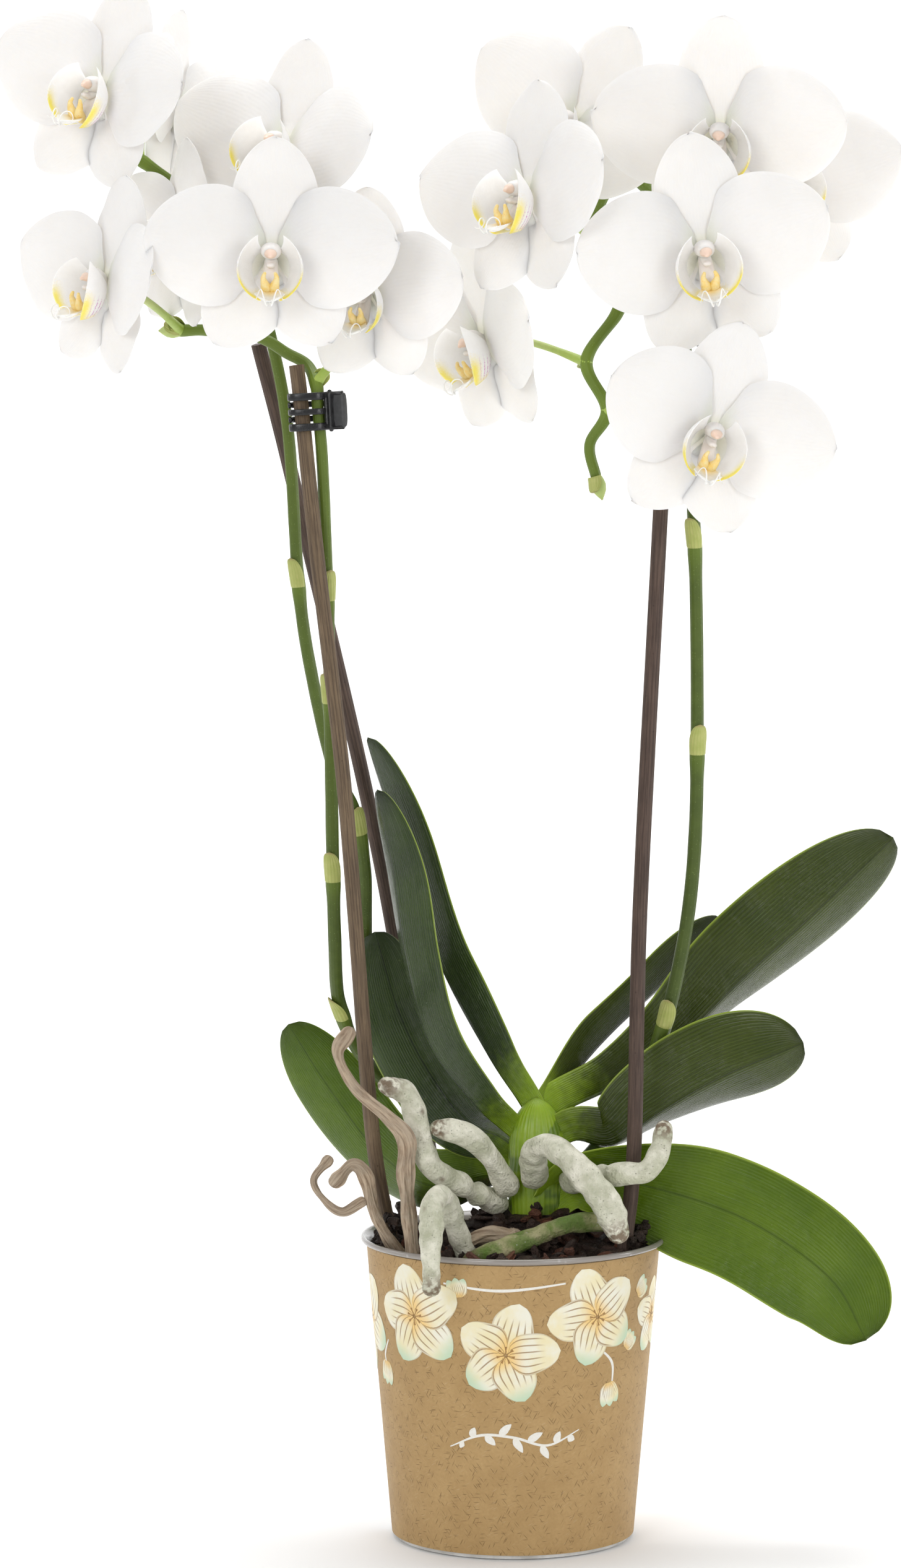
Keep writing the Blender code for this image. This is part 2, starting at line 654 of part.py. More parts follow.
def lip_mesh():
    """Column, lip with its two side lobes and the forward middle lobe."""
    column = smooth_path([(0, 0.4, 1.5), (0, 0.9, 4.5), (0, 0.0, 8.6)], 3)
    claw = smooth_path([(0, -1.0, 4.2), (0, -6.0, 5.2), (0, -10.0, 8.0),
                        (0, -13.5, 12.0), (0, -14.5, 15.5)], 5)
    solids = [
        make_mesh("column", *tube(column, (1.9, 1.8, 2.2), 6)),
        make_mesh("claw", *tube(claw, (1.6, 2.2, 2.7, 2.6, 1.1), 6)),
        make_mesh("lobe_right", *lobe(1.0)),
        make_mesh("lobe_left", *lobe(-1.0)),
    ]
    return join_solids("lip", solids)


def stalk(stem_point, place, facing, size):
    """Points of a flower stalk from the stem to just behind the flower."""
    matrix = flower_matrix(place, facing, size)
    reach = (HUB_BACK + GAP + FIT) * MM
    end = np.array(matrix @ Vector((0, 0, -reach))) / MM
    before = np.array(matrix @ Vector((0, 0, -13.0 * MM))) / MM
    foot = np.array(stem_point, float)
    second = foot + 0.45 * (before - foot)
    steps = []
    for t in np.linspace(0, 1, 7):
        steps.append((1 - t) ** 3 * foot + 3 * (1 - t) ** 2 * t * second
                     + 3 * (1 - t) * t ** 2 * before + t ** 3 * end)
    return np.array(steps)


def build_spike(name, points, material):
    """Flower stem with its joints and the stalk of every flower on it."""
    count = 12 + 2 * len(points)
    radii = [SPIKE_RADIUS * (1.0 - 0.25 * i / (count - 1)) for i in range(count)]
    radii[-1] = 0.7 * radii[-1]
    path = smooth_path(points, 4 * count)
    stem = seat_foot(points, lambda line: tube(smooth_path(line, count), radii, 8))
    solids = [make_mesh(name, *stem, sharp=70)]
    for number, place, facing, size, lean, owner, stem_point in FLOWERS:
        if owner == name:
            near = np.linalg.norm(path - np.array(raised([stem_point])[0]), axis=1)
            line = stalk(path[near.argmin()], raised([place])[0], facing,
                         size * FLOWER_SPAN / 72.0)
            widths = [PEDICEL_RADIUS * w for w in (1.25, 1.0, 0.95, 0.95, 1.0, 1.05, 1.05)]
            solids.append(make_mesh("stalk_%02d" % number, *tube(line, widths, 6)))
    return add_object(name, join_solids(name, solids), material)


def build_rod(name, points, radius_foot, radius_tip, sides, count, material):
    """Stick or root: a tube whose radius runs evenly from foot to tip."""
    radii = [radius_foot + (radius_tip - radius_foot) * i / (count - 1) for i in range(count)]
    if name not in STICKS:
        radii[-1] = 0.6 * radii[-1]
    solid = seat_foot(points, lambda line: tube(smooth_path(line, count), radii, sides))
    return add_object(name, make_mesh(name, *solid, sharp=60), material)


def jaw_mesh(name, side, solid_cell, pin):
    """Half of a claw clip: a bent plate from its tab to its fingers.

    The plate follows a line in plan with the pin at the origin; side is +1 for
    the half behind the stems and -1 for the half in front.  solid_cell tells
    which cells of its height are finger and which are gap.
    """
    near = CLIP_PIN + CLIP_THICK / 2 + (-0.3 if pin else GAP)
    reach = CLIP_OFFSET + STEM_SPACING + STICK_RADIUS + GAP + CLIP_THICK / 2
    wide = SPIKE_RADIUS + 1.5
    plan = [(CLIP_TAB * 0.64, CLIP_TAB * 0.82), (1.4, near + 0.9), (0.0, near),
            (-1.4, near + 0.7), (-CLIP_OFFSET, wide), (-reach * 0.8, wide),
            (-reach, wide * 0.62), (-reach - 0.3, -0.2)]
    cuts = [-5.5, -3.3, -3.0, -1.2, -0.9, 0.9, 1.2, 3.0, 3.3, 5.5]
    cuts = [c * CLIP_HEIGHT / 11.0 for c in cuts]
    line = np.array(plan)
    step = np.gradient(line, axis=0)
    step /= np.linalg.norm(step, axis=1)[:, None]
    off = np.stack([step[:, 1], -step[:, 0]], 1) * (CLIP_THICK / 2)
    points = []
    for skin in (1.0, -1.0):
        for p, o in zip(line, off):
            for c in cuts:
                points.append((p[0] + skin * o[0], side * (p[1] + skin * o[1]), c))
    rows, cols = len(plan), len(cuts)
    half = rows * cols
    filled = {(i, j) for i in range(rows - 1) for j in range(cols - 1) if solid_cell(i, j)}
    faces = []
    for i, j in sorted(filled):
        a = i * cols + j
        faces.append((a, a + 1, a + cols + 1, a + cols))
        faces.append((half + a, half + a + cols, half + a + cols + 1, half + a + 1))
        for step_i, step_j, p, q in ((-1, 0, a, a + 1), (1, 0, a + cols, a + cols + 1),
                                     (0, -1, a, a + cols), (0, 1, a + 1, a + cols + 1)):
            if (i + step_i, j + step_j) not in filled:
                faces.append((p, q, half + q, half + p))
    used = sorted({v for f in faces for v in f})
    index = {v: n for n, v in enumerate(used)}
    mesh = make_mesh(name, [points[v] for v in used],
                     [tuple(index[v] for v in f) for f in faces], 35)
    if not pin:
        return mesh
    ends = np.array([(0, 0, -CLIP_HEIGHT / 2), (0, 0, CLIP_HEIGHT / 2)], float)
    return join_solids(name, [mesh, make_mesh("pin", *tube(ends, (CLIP_PIN, CLIP_PIN), 10))])


def build_clip(name, place, lean, turn, materials):
    """Claw clip: the half with the pin stays, the other half turns on it."""
    back = jaw_mesh(name + "_back_jaw", 1.0, lambda i, j: i < 3 or j in (2, 6), True)
    front = jaw_mesh(name + "_front_jaw", -1.0, lambda i, j: i < 3 or j in (0, 4, 8), False)
    for part, mesh in (("_back_jaw", back), ("_front_jaw", front)):
        item = add_object(name + part, mesh, materials)
        item.matrix_world = (Matrix.Translation(Vector(place) * MM)
                             @ Matrix.Rotation(math.radians(lean), 4, "Y")
                             @ Matrix.Rotation(math.radians(turn), 4, "Z"))


def main():
    """Clear the scene and build every piece."""
    for item in list(bpy.data.objects):
        bpy.data.objects.remove(item, do_unlink=True)
    green = make_material("leaf_green", (0.045, 0.11, 0.015), 0.35)
    lime = make_material("crown_green", (0.30, 0.48, 0.03), 0.4)
    stem = make_material("spike_green", (0.11, 0.24, 0.04), 0.45)
    white = make_material("petal_white", (0.86, 0.85, 0.82), 0.5)
    yellow = make_material("lip_yellow", (0.85, 0.72, 0.35), 0.45)
    grey = make_material("root_grey", (0.36, 0.39, 0.30), 0.7)
    tan = make_material("dry_tan", (0.42, 0.32, 0.21), 0.85)
    brown = make_material("stick_brown", (0.12, 0.075, 0.055), 0.6)
    cane = make_material("stick_tan", (0.25, 0.17, 0.09), 0.6)
    black = make_material("clip_black", (0.01, 0.01, 0.011), 0.25)
    clear = make_material("pot_grey", (0.45, 0.45, 0.44), 0.2)
    kraft = make_material("label_kraft", (0.42, 0.27, 0.11), 0.75)
    bark = make_material("bark_dark", (0.04, 0.022, 0.014), 0.9)

    build_pot(clear)
    build_label(kraft)
    build_medium(bark)
    build_crown(lime)
    for name, midrib, half, turn_foot, turn_tip, fold, rise in LEAVES:
        line = raised(midrib[:1]) + potted(midrib[1:])
        build_leaf(name, line, half, turn_foot, turn_tip, fold, rise, green)
    for name, points in SPIKES.items():
        build_spike(name, raised(points), stem)
    for name, points in STICKS.items():
        build_rod(name, potted(points, STICK_SHIFT), STICK_RADIUS, STICK_RADIUS, 8, 7,
                  cane if name == "stick_tan" else brown)
    for name, points, foot, tip in ROOTS:
        dry = name.startswith("dry") or name.startswith("bark")
        build_rod(name, potted(points), foot, tip, 6 if dry else 8, 2 * len(points) + 1,
                  tan if dry else grey)
    lip = lip_mesh()
    for number, place, facing, size, lean, owner, stem_point in FLOWERS:
        matrix = flower_matrix(raised([place])[0], facing, size * FLOWER_SPAN / 72.0)
        petals = add_object("flower_%02d_tepals" % number,
                            flower_mesh("tepals_%02d" % number, lean), white)
        petals.matrix_world = matrix
        middle = add_object("flower_%02d_lip" % number, lip, yellow)
        middle.matrix_world = matrix
    for name, (place, lean) in CLIP_PLACES.items():
        build_clip(name, raised([place])[0], lean, 0, black)


main()
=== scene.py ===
# %% [markdown]
# # A potted moth orchid
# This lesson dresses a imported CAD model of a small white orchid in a 9 cm pot.
# The CAD solids fix every place and size; here each one is replaced by a
# finely shaped surface with its own finish.  All lengths in the tables are
# millimetres, +Z is up and the flowers face -Y.

import math

import bmesh
import bpy
import numpy as np
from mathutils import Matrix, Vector


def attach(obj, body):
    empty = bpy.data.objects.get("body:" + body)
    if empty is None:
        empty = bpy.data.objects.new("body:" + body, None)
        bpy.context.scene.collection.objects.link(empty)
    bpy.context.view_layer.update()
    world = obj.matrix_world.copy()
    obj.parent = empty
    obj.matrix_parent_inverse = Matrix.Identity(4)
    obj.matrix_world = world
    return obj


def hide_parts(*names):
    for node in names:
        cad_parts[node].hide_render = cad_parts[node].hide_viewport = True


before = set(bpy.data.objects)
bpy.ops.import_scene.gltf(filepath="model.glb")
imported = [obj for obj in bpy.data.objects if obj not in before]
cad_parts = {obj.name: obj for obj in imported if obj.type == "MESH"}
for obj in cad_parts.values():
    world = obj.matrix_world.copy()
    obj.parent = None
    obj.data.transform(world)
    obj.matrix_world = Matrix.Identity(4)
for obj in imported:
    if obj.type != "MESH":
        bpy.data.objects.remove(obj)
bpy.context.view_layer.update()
MM = 0.001

# %% [markdown]
# ## Camera and studio
# A product shot uses a long lens held nearly level, a white sweep that runs
# from floor to wall without an edge, and large soft lamps, so white petals
# keep faint grey shadows.  The sweep and lamps come last in this lesson.

# %% Camera
CAMERA_PLACE = (-0.0185, -1.6, 0.362)
CAMERA_DOWN = 4.95
CAMERA_LENS = 125.7
camera = bpy.data.objects.new("camera", bpy.data.cameras.new("camera"))
bpy.context.scene.collection.objects.link(camera)
camera.location = CAMERA_PLACE
camera.rotation_euler = (math.radians(90 - CAMERA_DOWN), 0, 0)
camera.data.lens = CAMERA_LENS
camera.data.clip_start, camera.data.clip_end = 0.05, 50
bpy.context.scene.camera = camera
bpy.context.scene.view_settings.view_transform = "Standard"
print("camera", CAMERA_PLACE)

# %% [markdown]
# ## Surfaces from two parameters
# Every piece below is one or more grids of points: row by column, each point
# a formula of the two parameters.  A grid that comes back to its start repeats
# its first column, and a pole is a row whose points coincide; welding at the
# end closes both, while each face keeps its own map coordinates.


# %% Grids into meshes
WELD_DISTANCE, SLIVER_LENGTH = 2e-6, 1e-7  # metres
SHARP_EDGE = math.radians(52)


def surface(points, map_uv=None, material=0, tint=0.0):
    """One grid of points (rows, columns, 3) with its map coordinates, the
    number of its material and a value per point that finishes may read."""
    rows, cols = points.shape[:2]
    if map_uv is None:
        down, over = np.meshgrid(np.linspace(0, 1, rows), np.linspace(0, 1, cols), indexing="ij")
        map_uv = np.stack([down, over], -1)
    return points, map_uv, material, np.broadcast_to(np.asarray(tint, float), (rows, cols))


def grid_faces(rows, cols, first):
    """Corner numbers of the quads between neighbouring rows and columns."""
    a = first + np.arange(rows - 1)[:, None] * cols + np.arange(cols - 1)[None, :]
    return np.stack([a, a + 1, a + cols + 1, a + cols], -1).reshape(-1, 4)


def piece(name, surfaces, finishes, nodes, body="plant"):
    """Lay all grids into one mesh, weld it, turn its faces outward and let it
    stand for the CAD nodes named."""
    points = np.concatenate([s[0].reshape(-1, 3) for s in surfaces]) * MM
    starts = np.cumsum([0] + [s[0].shape[0] * s[0].shape[1] for s in surfaces])
    quads = [grid_faces(*s[0].shape[:2], at) for s, at in zip(surfaces, starts)]
    kinds = np.concatenate([np.full(len(q), s[2]) for q, s in zip(quads, surfaces)])
    quads = np.concatenate(quads)
    maps = np.concatenate([s[1].reshape(-1, 2) for s in surfaces])
    tints = np.concatenate([s[3].reshape(-1) for s in surfaces])
    mesh = bpy.data.meshes.new(name)
    mesh.vertices.add(len(points))
    mesh.vertices.foreach_set("co", points.astype(np.float32).ravel())
    mesh.loops.add(quads.size)
    mesh.loops.foreach_set("vertex_index", quads.astype(np.int32).ravel())
    mesh.polygons.add(len(quads))
    mesh.polygons.foreach_set("loop_start", np.arange(0, quads.size, 4, dtype=np.int32))
    mesh.polygons.foreach_set("material_index", kinds.astype(np.int32))
    mesh.update(calc_edges=True)
    mesh.uv_layers.new(name="lay").data.foreach_set(
        "uv", maps[quads.ravel()].astype(np.float32).ravel())
    mesh.attributes.new("tint", "FLOAT", "POINT").data.foreach_set(
        "value", tints.astype(np.float32))
    for finish in finishes:
        mesh.materials.append(finish)
    work = bmesh.new()
    work.from_mesh(mesh)
    bmesh.ops.remove_doubles(work, verts=work.verts, dist=WELD_DISTANCE)
    bmesh.ops.dissolve_degenerate(work, edges=work.edges, dist=SLIVER_LENGTH)
    bmesh.ops.recalc_face_normals(work, faces=work.faces)
    work.to_mesh(mesh)
    work.free()
    mesh.shade_smooth()
    mesh.set_sharp_from_angle(angle=SHARP_EDGE)
    item = bpy.data.objects.new(name, mesh)
    bpy.context.scene.collection.objects.link(item)
    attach(item, body)
    if nodes:
        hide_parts(*nodes)
    print("%-20s %6d faces" % (name, len(mesh.polygons)))
    return item


print("a grid of 3 by 4 points has", len(grid_faces(3, 4, 0)), "faces")

# %% [markdown]
# A stem, a root or a wire is a round profile carried along a smooth path.  The
# path is a Catmull-Rom curve through the table's points, and the two
# directions across it are handed from station to station so nothing twists.


# %% Paths and profiles
SPAN_STEPS = 24
DOME_RINGS = np.radians([22, 45, 68, 90])
PROFILE_START = (0.0, -1.0, 0.0)


def smooth_line(points, count):
    """Catmull-Rom curve through the points, sampled at even distances."""
    p = np.array(points, float)
    e = np.vstack([2 * p[0] - p[1], p, 2 * p[-1] - p[-2]])
    t = np.linspace(0, 1, SPAN_STEPS, endpoint=False)[None, :, None]
    a, b, c, d = (e[k:len(p) - 1 + k, None, :] for k in range(4))
    curve = 0.5 * (2 * b + (c - a) * t + (2 * a - 5 * b + 4 * c - d) * t ** 2
                   + (3 * b - a - 3 * c + d) * t ** 3)
    curve = np.vstack([curve.reshape(-1, 3), p[-1]])
    run = np.r_[0, np.cumsum(np.linalg.norm(np.diff(curve, axis=0), axis=1))]
    at = np.linspace(0, run[-1], count)
    return np.stack([np.interp(at, run, curve[:, k]) for k in range(3)], 1)


def across(path, start=PROFILE_START):
    """Unit tangent and two directions across it at every station."""
    along = np.gradient(path, axis=0)
    along /= np.linalg.norm(along, axis=1)[:, None]
    side, sides = np.array(start, float), []
    for t in along:
        side = side - t * side.dot(t)
        side = side / np.linalg.norm(side)
        sides.append(side)
    sides = np.array(sides)
    return along, sides, np.cross(along, sides)


def swept(path, radius, turns=20, start=PROFILE_START, flat=1.0, round_ends=True,
          material=0, tint=0.0):
    """Point = path + radius * (cos turn * first + flat * sin turn * second);
    the radius may change with both station and turn, and each end is closed by
    a dome of four rings or by a flat cap."""
    path = np.asarray(path, float)
    radius = np.asarray(radius, float)
    radius = radius.reshape(len(path), -1) if radius.ndim else radius
    radius = np.broadcast_to(radius, (len(path), turns + 1)).copy()
    radius[:, -1] = radius[:, 0]
    along, one, two = across(path, start)
    shrink, push = np.array([0.92, 0.0]), np.zeros(2)
    if round_ends:
        shrink, push = np.cos(DOME_RINGS), np.sin(DOME_RINGS)
    ends = []
    for i, way in ((0, -1.0), (-1, 1.0)):
        mean = radius[i].mean()
        ends.append((path[i] + way * along[i] * push[:, None] * mean, shrink[:, None] * radius[i]))
    spots = np.vstack([ends[0][0][::-1], path, ends[1][0]])
    radius = np.vstack([ends[0][1][::-1], radius, ends[1][1]])
    extra = len(push)
    one = np.vstack([one[:1]] * extra + [one] + [one[-1:]] * extra)
    two = np.vstack([two[:1]] * extra + [two] + [two[-1:]] * extra)
    turn = np.linspace(0, 2 * np.pi, turns + 1)
    points = spots[:, None, :] + radius[..., None] * (
        np.cos(turn)[None, :, None] * one[:, None, :]
        + flat * np.sin(turn)[None, :, None] * two[:, None, :])
    points[:, -1] = points[:, 0]
    run = np.r_[0, np.cumsum(np.linalg.norm(np.diff(spots, axis=0), axis=1))]
    u, v = np.meshgrid(run / 10.0, turn / (2 * np.pi), indexing="ij")
    if np.ndim(tint) == 1:
        tint = np.r_[[tint[0]] * extra, tint, [tint[-1]] * extra][:, None]
    return surface(points, np.stack([u, v], -1), material, tint)


def blade(middle, thick, map_uv=None, material=0, edge=0.25, tint=None):
    """Close a curved sheet: the front is the middle grid pushed out along its
    normal by half the thickness, the back is pushed in, and the thickness
    falls to a thin edge at both sides and to nothing at both ends."""
    rows, cols = middle.shape[:2]
    du = np.gradient(middle, axis=0)
    dv = np.gradient(middle, axis=1)
    dv[0], dv[-1] = dv[1], dv[-2]
    normal = np.cross(du, dv)
    normal /= np.maximum(np.linalg.norm(normal, axis=2), 1e-9)[..., None]
    w = np.linspace(-1, 1, cols)[None, :]
    half = 0.5 * np.asarray(thick, float) * np.sqrt(np.maximum(edge ** 2, 1 - w ** 6))
    half = np.broadcast_to(half, (rows, cols)).copy()
    half[0] = half[-1] = 0
    front = middle + normal * half[..., None]
    back = middle - normal * half[..., None]
    points = np.concatenate([front, back[:, ::-1], front[:, :1]], 1)
    if map_uv is None:
        u, v = np.meshgrid(np.linspace(0, 1, rows), np.linspace(-1, 1, cols), indexing="ij")
        map_uv = np.stack([u, v], -1)
    maps = np.concatenate([map_uv, map_uv[:, ::-1], map_uv[:, :1]], 1)
    if tint is None:
        tint = np.zeros((rows, cols)), np.ones((rows, cols))
    shade = np.concatenate([tint[0], tint[1][:, ::-1], tint[0][:, :1]], 1)
    return surface(points, maps, material, shade)


def wobble(points, size, seed):
    """Smooth noise, mostly from -1 to 1: the mean of six sine waves that run in
    random directions, each about one size long, times 1.6.  A random direction
    of three normal draws is about 1.7 long, so it is divided by that."""
    draw = np.random.default_rng(seed)
    ways = draw.normal(size=(6, 3)) * (2 * np.pi / size / 1.7)
    phase = draw.uniform(0, 2 * np.pi, 6)
    return np.sin(points @ ways.T + phase).mean(-1) * 1.6


print("a straight line keeps its length:", smooth_line([(0, 0, 0), (0, 0, 9)], 5)[-1])

# %% [markdown]
# ## Finishes
# A living surface is never one colour: cells, veins, dust and age vary it at
# several scales.  Effects that many finishes share are node groups that put
# out masks and heights; the shader itself stays in each material.


# %% Node helpers
def node(tree, kind, inputs=None, **settings):
    """Add a node, set its options, then link or fill its inputs."""
    made = tree.nodes.new(kind)
    for key, value in settings.items():
        setattr(made, key, value)
    for key, value in (inputs or {}).items():
        if isinstance(value, bpy.types.NodeSocket):
            tree.links.new(value, made.inputs[key])
        else:
            made.inputs[key].default_value = value
    return made


def new_group(name, inputs, outputs):
    """Start a shader group with named number inputs and outputs."""
    group = bpy.data.node_groups.new(name, "ShaderNodeTree")
    for key, kind, value in inputs:
        socket = group.interface.new_socket(key, in_out="INPUT", socket_type=kind)
        if value is not None:
            socket.default_value = value
    for key, kind in outputs:
        group.interface.new_socket(key, in_out="OUTPUT", socket_type=kind)
    return group, group.nodes.new("NodeGroupInput").outputs, group.nodes.new("NodeGroupOutput").inputs


def maths(tree, work, a, b=0.0, c=0.0, clamp=False):
    """One Math node's result."""
    return node(tree, "ShaderNodeMath", {0: a, 1: b, 2: c}, operation=work,
                use_clamp=clamp).outputs[0]


def ramp(tree, value, low, high, out_low=0.0, out_high=1.0):
    """Smooth step of a value between two bounds."""
    return node(tree, "ShaderNodeMapRange",
                {"Value": value, "From Min": low, "From Max": high, "To Min": out_low,
                 "To Max": out_high}, interpolation_type="SMOOTHSTEP").outputs["Result"]


def blend_colour(tree, share, one, two):
    """Mix two colours by a share."""
    mixed = tree.nodes.new("ShaderNodeMix")
    mixed.data_type = "RGBA"
    for socket, value in ((mixed.inputs[0], share), (mixed.inputs[6], one), (mixed.inputs[7], two)):
        if isinstance(value, bpy.types.NodeSocket):
            tree.links.new(value, socket)
        else:
            socket.default_value = value if isinstance(value, float) else (*value[:3], 1.0)
    return mixed.outputs[2]


print("node helpers: node, new_group, maths, ramp, blend_colour")

# %% [markdown]
# Shared effects: soft patches of two sizes (mottle), scattered dots (specks)
# and fine parallel lines that follow a blade from foot to tip (veins).


# %% Shared effects
def make_mottle():
    """Noise of a given size, squeezed about its middle into a 0 to 1 mask."""
    group, given, out = new_group("mottle", [("Size mm", "NodeSocketFloat", 5.0),
                                             ("Contrast", "NodeSocketFloat", 0.2)],
                                  [("Mask", "NodeSocketFloat"), ("Fine", "NodeSocketFloat")])
    place = node(group, "ShaderNodeTexCoord").outputs["Object"]
    scale = maths(group, "DIVIDE", 1000.0, given["Size mm"])
    noise = node(group, "ShaderNodeTexNoise", {"Vector": place, "Scale": scale, "Detail": 4.0,
                                               "Roughness": 0.6})
    low = maths(group, "SUBTRACT", 0.5, given["Contrast"])
    high = maths(group, "ADD", 0.5, given["Contrast"])
    group.links.new(ramp(group, noise.outputs[0], low, high), out["Mask"])
    fine = node(group, "ShaderNodeTexNoise", {"Vector": place, "Detail": 2.0,
                                              "Scale": maths(group, "MULTIPLY", scale, 6.0)})
    group.links.new(fine.outputs[0], out["Fine"])
    return group


def make_specks():
    """Voronoi cells of a given size; the mask is 1 near the middle of the few
    cells whose random value passes the share."""
    group, given, out = new_group("specks", [("Size mm", "NodeSocketFloat", 1.0),
                                             ("Share", "NodeSocketFloat", 0.3),
                                             ("Radius", "NodeSocketFloat", 0.25)],
                                  [("Mask", "NodeSocketFloat")])
    place = node(group, "ShaderNodeTexCoord").outputs["Object"]
    cells = node(group, "ShaderNodeTexVoronoi",
                 {"Vector": place, "Scale": maths(group, "DIVIDE", 1000.0, given["Size mm"])})
    dot = ramp(group, cells.outputs["Distance"], given["Radius"], 0.0)
    pick = node(group, "ShaderNodeSeparateColor", {"Color": cells.outputs["Color"]}).outputs[0]
    chosen = maths(group, "LESS_THAN", pick, given["Share"])
    group.links.new(maths(group, "MULTIPLY", dot, chosen), out["Mask"])
    return group


def make_veins():
    """Lines of constant place across the blade, bent a little by noise.  The
    map's first coordinate runs along the blade and the second across it."""
    group, given, out = new_group("veins", [("Count", "NodeSocketFloat", 20.0),
                                            ("Bend", "NodeSocketFloat", 0.4)],
                                  [("Height", "NodeSocketFloat"), ("Along", "NodeSocketFloat"),
                                   ("Across", "NodeSocketFloat")])
    lay = node(group, "ShaderNodeUVMap", uv_map="lay").outputs[0]
    parts = node(group, "ShaderNodeSeparateXYZ", {0: lay})
    place = node(group, "ShaderNodeTexCoord").outputs["Object"]
    bend = node(group, "ShaderNodeTexNoise", {"Vector": place, "Scale": 90.0, "Detail": 2.0})
    off = maths(group, "MULTIPLY", maths(group, "SUBTRACT", bend.outputs[0], 0.5), given["Bend"])
    turn = maths(group, "ADD", maths(group, "MULTIPLY", parts.outputs[1], given["Count"]), off)
    wave = maths(group, "SINE", maths(group, "MULTIPLY", turn, 2 * math.pi))
    group.links.new(maths(group, "MULTIPLY_ADD", wave, 0.5, 0.5), out["Height"])
    group.links.new(parts.outputs[0], out["Along"])
    group.links.new(maths(group, "ABSOLUTE", parts.outputs[1]), out["Across"])
    return group


EFFECTS = {"mottle": make_mottle(), "specks": make_specks(), "veins": make_veins()}


def effect(tree, name, **inputs):
    """Place a shared effect with its own values."""
    placed = tree.nodes.new("ShaderNodeGroup")
    placed.node_tree = EFFECTS[name]
    for key, value in inputs.items():
        placed.inputs[key.replace("_", " ")].default_value = value
    return placed.outputs


def finish_of(name, **shader_values):
    """A new material, its tree and its Principled shader with plain values."""
    made = bpy.data.materials.new(name)
    made.use_nodes = True
    shader = made.node_tree.nodes["Principled BSDF"]
    for key, value in shader_values.items():
        socket = shader.inputs[key.replace("_", " ")]
        socket.default_value = (*value, 1.0) if isinstance(value, tuple) and len(value) == 3 \
            and len(socket.default_value) == 4 else value
    return made, made.node_tree, shader


def plug(tree, shader, colour, roughness, heights=()):
    """Feed colour, roughness and a chain of bumps (height, distance in mm)."""
    tree.links.new(colour, shader.inputs["Base Color"])
    tree.links.new(roughness, shader.inputs["Roughness"])
    last = None
    for height, distance in heights:
        bump = node(tree, "ShaderNodeBump", {"Height": height, "Distance": distance * MM,
                                             "Strength": 1.0})
        if last is not None:
            tree.links.new(last, bump.inputs["Normal"])
        last = bump.outputs[0]
    if last is not None:
        tree.links.new(last, shader.inputs["Normal"])


def map_parts(tree):
    """The two coordinates of the piece's own map: along it and across it."""
    parts = node(tree, "ShaderNodeSeparateXYZ",
                 {0: node(tree, "ShaderNodeUVMap", uv_map="lay").outputs[0]}).outputs
    return parts[0], parts[1]


def tint_of(tree):
    """The value that each point of the piece carries."""
    return node(tree, "ShaderNodeAttribute", attribute_name="tint").outputs["Fac"]


print("shared effects:", sorted(EFFECTS))

# %% [markdown]
# ## The plant's plan
# The same points as the CAD model uses: midribs of the leaves, lines of the
# spikes, sticks and roots, and the place and facing of every flower.  Only
# root_mossy and the scrap bark_chip_top lie a little higher, on heaped bark.

# %% Tables, in millimetres and degrees
# Leaves: name, midrib points, half width, turn of the blade at foot and tip in
# degrees (0 faces -Y), how far the halves fold back from the midrib and the
# share of its length over which the foot widens.
LEAVES = [
    ("leaf_left_low", [(-6, 6, 107), (-24, 18, 102), (-40, 25, 111), (-55, 28, 130),
                       (-67, 27, 149)], 12.5, 35, 12, 12, 0.40),
    ("leaf_left_broad", [(-4, 4, 118), (-14, 8, 122), (-25, 13, 136), (-34, 15, 154),
                         (-41, 16, 178)], 12.0, -28, -12, 16, 0.45),
    ("leaf_left_inner", [(-3, -1, 122), (-11, -4, 130), (-24, -5, 148), (-31, -3, 173),
                         (-35, -1, 199), (-40, -1, 222)], 11.0, 66, 54, 20, 0.40),
    ("leaf_left_tall", [(2, 3, 130), (-7, 9, 143), (-22, 16, 171), (-34, 18, 208),
                        (-43, 16, 236)], 12.5, 70, 66, 20, 0.40),
    ("leaf_right_back", [(12, 4, 130), (26, 17, 145), (46, 27, 163), (63, 32, 180)],
     10.5, -70, -52, 20, 0.40),
    ("leaf_right_high", [(15, 2, 127), (31, 9, 134), (50, 15, 147), (67, 18, 163),
                         (89, 19, 183), (113, 18, 206)], 17.5, -60, -12, 26, 0.62),
    ("leaf_right_mid", [(18, -2, 119), (29, -4, 118), (42, -5, 127), (61, -6, 138),
                        (85, -7, 148)], 17.5, -55, -12, 26, 0.62),
    ("leaf_right_hanging", [(19, -4, 107.8), (41, -7.6, 105.4), (69, -11, 96), (93, -12, 79),
                            (104, -9, 60)], 18.5, -15, -8, -8, 0.45),
]

